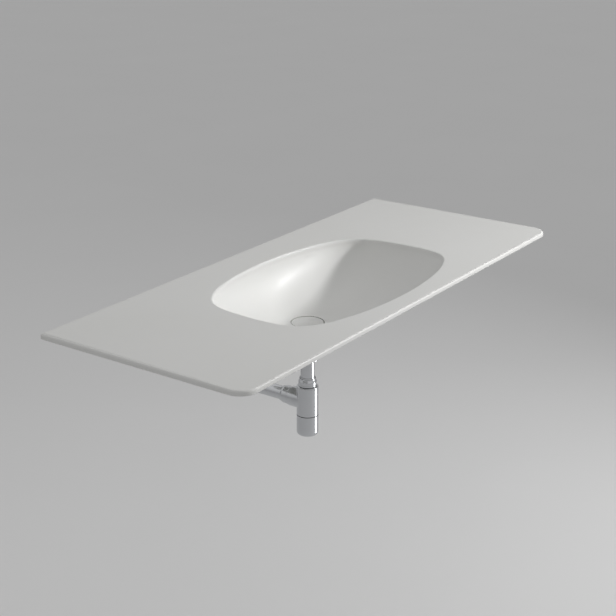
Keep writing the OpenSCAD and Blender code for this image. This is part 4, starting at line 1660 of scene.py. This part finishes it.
@dataclass
class Trap:
    """Chrome bottle trap between the waste and the outlet."""

    spigot_wall: float = 2.4 * MM
    collar_height: float = 2 * MM
    coupling_floor: float = 2.5 * MM
    coupling_grooves: tuple[float, ...] = (5 * MM, 7.5 * MM)
    nut_groove: float = 4 * MM
    nut_lip: float = 3 * MM
    nut_collar: float = 1.2 * MM
    nut_collar_height: float = 3 * MM
    nut_cone: float = 7.5 * MM
    nut_gap: float = 0.4 * MM
    bottle_wall: float = 2 * MM
    shoulder: float = 4 * MM
    neck: float = 2 * MM
    skirt_wall: float = 1.7 * MM
    skirt_thread: float = 0.6 * MM
    skirt_pitch: float = 3 * MM
    skirt_start: float = 0.4 * MM
    collar_step: float = 2 * MM
    branch_step: float = 2 * MM
    branch_start: float = 6 * MM
    spigot_gap: float = 6 * MM
    cup_floor: float = 3 * MM
    cup_round: float = 7 * MM
    slot_length: float = 24 * MM
    slot_width: float = 4 * MM
    slot_depth: float = 1.6 * MM
    slot_round: float = 1.96 * MM
    slot_steps: int = 8

    def __post_init__(self) -> None:
        """Works out the radii that several pieces share."""
        self.seat = TUBE_R + PLAY
        self.spigot_r = self.seat + self.spigot_wall

    @staticmethod
    def groove(r: float, h: float) -> list[Corner]:
        """Fine turned groove in a piece's side.

        Args:
            r: Radius of the side.
            h: Place of the groove's middle along the axis.

        Returns:
            The groove's corners.
        """
        depth, half, bend = 0.45 * MM, 0.75 * MM, 0.12 * MM
        return [
            (r, h - half, bend), (r - depth, h - half / 2, bend), (r - depth, h + half / 2, bend),
            (r, h + half, bend)]

    def slip_nut(self, name: str, room: Room) -> Piece:
        """Makes a round slip nut with a collar and a long cone towards the tube.

        Args:
            name: Name of the piece.
            room: Room of the nut, its threaded mouth at the start.

        Returns:
            The nut.
        """
        bore, r = self.spigot_r + PLAY, room.radius
        inner = room.end - self.nut_lip
        collar = self.seat + self.nut_collar
        neck = room.end - self.nut_collar_height
        return turn(name, [
            (bore, room.start, FINE), (r, room.start, 0.9 * MM),
            *self.groove(r, room.start + self.nut_groove), (r, neck - self.nut_cone, 4 * MM),
            (collar, neck, 1.2 * MM), (collar, room.end, 0.7 * MM), (self.seat, room.end, FINE),
            (self.seat, inner, CRISP), (bore, inner, CRISP)], room)

    def coupling(self) -> Piece:
        """Makes the coupling nut between the waste and the dip tube.

        Returns:
            The nut.
        """
        room = Room.of("coupling_nut")
        bore, r = TAIL_R + PLAY, room.radius
        inner = room.start + self.coupling_floor
        return turn("coupling_nut_plated", [
            (self.seat, room.start, EASED), (r, room.start, 1.6 * MM),
            *(corner for h in self.coupling_grooves for corner in self.groove(r, room.start + h)),
            (r, room.end, 1.6 * MM), (bore, room.end, SOFT), (bore, inner, CRISP),
            (self.seat, inner, CRISP)], room)

    def dip_tube(self) -> Piece:
        """Makes the tube from the coupling down into the bottle.

        Returns:
            The tube.
        """
        room = Room.of("dip_tube")
        bore, collar = TUBE_R - TUBE_WALL, room.end - self.collar_height
        return turn("dip_tube_plated", [
            (bore, room.start, FINE), (TUBE_R, room.start, FINE),
            (TUBE_R, collar), (room.radius, collar, FINE), (room.radius, room.end, FINE),
            (bore, room.end, FINE)], room)

    def body(self) -> Piece:
        """Makes the bottle's upper body with its neck, threaded skirt and outlet branch, bored through.

        Returns:
            The body.
        """
        room, nut, cup = Room.of("trap_body"), Room.of("inlet_slip_nut"), Room.of("trap_cup")
        pipe, outlet = (Room.of(node, Axis.INTO_WALL) for node in ("wall_pipe", "outlet_slip_nut"))
        bottle = replace(room, centre=cup.centre, radius=cup.radius)
        r, seam = bottle.radius, Room.of("cup_gasket").end
        top = nut.start - self.nut_gap
        cavity = r - self.bottle_wall
        skirt = cavity - PLAY
        root = skirt - self.skirt_thread
        branch = replace(
            outlet, centre=pipe.centre, start=bottle.centre.y + self.branch_start,
            radius=outlet.radius + self.collar_step)
        face = outlet.start - self.nut_gap
        spigot_end = outlet.end - self.spigot_gap
        past = 1 * MM
        piece = turn("trap_body_plated", [
            (0, room.end), (self.spigot_r, room.end, SOFT), (self.spigot_r, top),
            (r, top, self.shoulder), (r, seam, SOFT), (root, seam),
            (root, room.start, SOFT), (0, room.start)], bottle)
        arm = turn("trap_branch", [
            (0, branch.start), (branch.radius, branch.start), (branch.radius, face, 1.2 * MM),
            (self.spigot_r, face), (self.spigot_r, spigot_end, SOFT), (0, spigot_end)], branch)
        combine(piece, arm, Combine.ADD)
        hollow = turn("trap_hollow", [
            (0, room.end + past), (self.seat, room.end + past), (self.seat, top - self.neck),
            (cavity, top - self.neck - self.shoulder), (cavity, seam + 2 * self.neck),
            (skirt - self.skirt_wall, seam + self.neck), (skirt - self.skirt_wall, room.start - past),
            (0, room.start - past)], bottle)
        combine(piece, hollow, Combine.CUT)
        drill = turn("trap_drill", [
            (0, branch.start), (TUBE_R - self.branch_step, branch.start),
            (TUBE_R - self.branch_step, pipe.start), (self.seat, pipe.start),
            (self.seat, spigot_end + past), (0, spigot_end + past)], branch)
        combine(piece, drill, Combine.CUT)
        close_up(piece)
        wound = thread(
            "trap_skirt_thread", root, skirt, self.skirt_pitch,
            room.start + self.skirt_start, seam, bottle)
        return gather("trap_body_plated", [piece, wound])

    def cup(self) -> Piece:
        """Makes the screw-on cup with a rounded foot and a slot for a coin or a wrench.

        Returns:
            The cup.
        """
        room = Room.of("trap_cup")
        r, inner = room.radius, room.radius - self.bottle_wall
        inside = room.start + self.cup_floor
        piece = turn("trap_cup_plated", [
            (0, room.start), (r, room.start, self.cup_round), (r, room.end, SOFT),
            (inner, room.end, FINE), (inner, inside, self.cup_round - self.bottle_wall),
            (0, inside)], room)
        foot = room.point(0, room.start)
        slot = add("cup_slot", bpy.ops.mesh.primitive_cube_add, size=1.0, location=foot)
        edit(slot, whole=True)
        bpy.ops.transform.resize(
            value=(self.slot_length, self.slot_width, 2 * self.slot_depth), center_override=foot)
        round_off(
            slot, Element.EDGE, lambda edge: abs(edge.verts[0].co.z - edge.verts[1].co.z) > TOUCH,
            self.slot_round, self.slot_steps)
        combine(piece, slot, Combine.CUT)
        return close_up(piece)

    def build(self) -> None:
        """Builds the trap from the waste down."""
        inlet, outlet = Room.of("inlet_slip_nut"), Room.of("outlet_slip_nut", Axis.INTO_WALL)
        fit(self.coupling(), CHROME, "coupling_nut")
        fit_ring("coupling_washer_ring", RUBBER, "coupling_washer", TUBE_R)
        fit(self.dip_tube(), CHROME, "dip_tube")
        fit(self.slip_nut("inlet_nut_plated", inlet), CHROME, "inlet_slip_nut")
        fit_ring("inlet_seal_ring", RUBBER, "inlet_seal", TUBE_R, 0.6 * MM)
        fit(self.body(), CHROME, "trap_body")
        skirt = Room.of("cup_gasket").radius - self.bottle_wall + PLAY + self.skirt_thread
        fit_ring("cup_gasket_ring", RUBBER, "cup_gasket", skirt, EASED)
        fit(self.cup(), CHROME, "trap_cup")
        fit(self.slip_nut("outlet_nut_plated", outlet), CHROME_OUTLET, "outlet_slip_nut")
        fit_ring("outlet_seal_ring", RUBBER, "outlet_seal", TUBE_R, 0.6 * MM, Axis.INTO_WALL)


@dataclass
class Outlet:
    """Pipe into the wall and the rosette that slides on it."""

    groove: float = 0.3 * MM
    groove_width: float = 1.5 * MM
    sheet: float = 1.5 * MM
    flare_steps: int = 20

    def pipe(self) -> Piece:
        """Makes the straight tube with a shallow groove at the wall's face.

        Returns:
            The pipe.
        """
        room = Room.of("wall_pipe", Axis.INTO_WALL)
        r, bore = TUBE_R, TUBE_R - TUBE_WALL
        return turn("wall_pipe_plated", [
            (bore, room.start, FINE), (r, room.start, FINE), (r, -self.groove_width),
            (r - self.groove, -self.groove_width + self.groove), (r - self.groove, -self.groove),
            (r, 0), (r, room.end, FINE), (bore, room.end, FINE)], room)

    def rosette(self) -> Piece:
        """Makes the spun rosette whose flare rises from the wall to the pipe.

        Returns:
            The rosette.
        """
        room = Room.of("wall_rosette", Axis.INTO_WALL)
        seat, height = TUBE_R + PLAY, room.end - room.start
        angles = quarter_turn(self.flare_steps)
        outer = [
            (room.radius - (room.radius - seat - self.sheet) * math.sin(a),
             -self.sheet - (height - self.sheet) * (1 - math.cos(a)))
            for a in angles]
        inner = [
            (room.radius - self.sheet - (room.radius - self.sheet - seat) * math.sin(a),
             -(height - self.sheet) * (1 - math.cos(a)))
            for a in reversed(angles)]
        rim = (*outer[0], 0.6 * MM)
        return turn("rosette_plated", [
            (room.radius, 0, FINE), rim, *outer[1:], (seat, -height, FINE), *inner], room)

    def build(self) -> None:
        """Builds the pipe and the rosette."""
        fit(self.pipe(), CHROME_OUTLET, "wall_pipe")
        fit(self.rosette(), CHROME_OUTLET, "wall_rosette")


@dataclass
class Studio:
    """Pale floor, soft lamps, a plain world and the camera."""

    floor_z: float = -0.80
    floor_size: float = 60.0
    camera_place: tuple[float, float, float] = (-2.249, -1.795, 0.979)
    camera_tilt: float = 20.191
    camera_turn: float = 54.846
    camera_lens: float = 77.52
    daylight: float = 0.47
    backdrop: float = 0.85
    horizon: float = 0.42

    def floor(self) -> None:
        """Lays the floor at the height at which a washbasin hangs above one."""
        place = (0, 0, self.floor_z)
        floor = add("studio_floor", bpy.ops.mesh.primitive_plane_add, size=self.floor_size, location=place)
        floor.data.materials.append(FLOOR.mixed())

    def lamp(
        self, name: str, place: Vector, aim: Vector, size: tuple[float, float], watts: float,
        spread: float = 180.0
    ) -> None:
        """Hangs a flat soft lamp.

        Args:
            name: Name of the lamp.
            place: Its place.
            aim: Point that it faces.
            size: Its width and height.
            watts: Its power.
            spread: Angle to which its light is kept, in degrees.
        """
        clear_selection()
        bpy.ops.object.light_add(type="AREA", location=place)
        lamp = bpy.context.object
        lamp.name = lamp.data.name = name
        lamp.rotation_euler = (aim - place).to_track_quat("-Z", "Y").to_euler()
        lamp.data.shape = "RECTANGLE"
        lamp.data.size, lamp.data.size_y = size
        lamp.data.energy = watts
        lamp.data.spread = math.radians(spread)
        lamp.visible_camera = False

    def sky(self) -> None:
        """Makes the pale world, brightest overhead, and dimmer as a light than to the eye."""
        world = bpy.data.worlds.new("studio_world")
        bpy.context.scene.world = world
        world.use_nodes = True
        tree = world.node_tree
        way = add_node(tree, "ShaderNodeTexCoord").outputs[0]
        up = add_node(tree, "ShaderNodeSeparateXYZ", {0: way}).outputs["Z"]
        height = add_node(tree, "ShaderNodeMapRange", {
            "Value": up, "From Min": -0.1, "From Max": 0.9, "To Min": self.horizon, "To Max": 1.0}).outputs[0]
        share = add_node(tree, "ShaderNodeMapRange", {
            "Value": looked_at(tree), "To Min": self.daylight, "To Max": self.backdrop}).outputs[0]
        strength = add_node(tree, "ShaderNodeMath", {0: height, 1: share}, operation="MULTIPLY").outputs[0]
        tree.links.new(strength, tree.nodes["Background"].inputs["Strength"])
        tree.nodes["Background"].inputs["Color"].default_value = (1.0, 1.0, 1.0, 1.0)

    def camera(self) -> None:
        """Sets the camera at the photograph's angle."""
        clear_selection()
        tilt, turned = math.radians(90 - self.camera_tilt), -math.radians(self.camera_turn)
        bpy.ops.object.camera_add(location=self.camera_place, rotation=(tilt, 0.0, turned))
        camera = bpy.context.object
        camera.name = camera.data.name = "photo_camera"
        camera.data.lens = self.camera_lens
        camera.data.sensor_width = 36.0
        bpy.context.scene.camera = camera

    def build(self) -> None:
        """Sets up the studio."""
        self.floor()
        bowl = Vector((0, -0.25, 0))
        trap = Vector((0, -0.21, -0.25))
        key, strip, fill = (
            Vector(place) for place in ((1.90, -2.37, 0.97), (0.616, -0.919, -0.592), (-2.2, -0.6, 1.6)))
        self.lamp("key_lamp", key, bowl, size=(0.18, 0.18), watts=17.2, spread=100.0)
        self.lamp("strip_lamp", strip, trap, size=(0.24, 0.40), watts=0.08, spread=30.0)
        self.lamp("fill_lamp", fill, bowl, size=(2.2, 2.2), watts=2.6)
        self.sky()
        self.camera()
        bpy.context.scene.view_settings.view_transform = "Standard"


def main() -> None:
    """Builds every sub-assembly in order, then the studio."""
    logging.basicConfig(level=logging.INFO, format="%(name)s: %(message)s", stream=sys.stdout)
    for assembly in (Basin(), WallHangers(), Waste(), Plug(), Trap(), Outlet()):
        log.info("building %s", type(assembly).__name__)
        assembly.build()
    Studio().build()


if __name__ == "__main__":
    main()
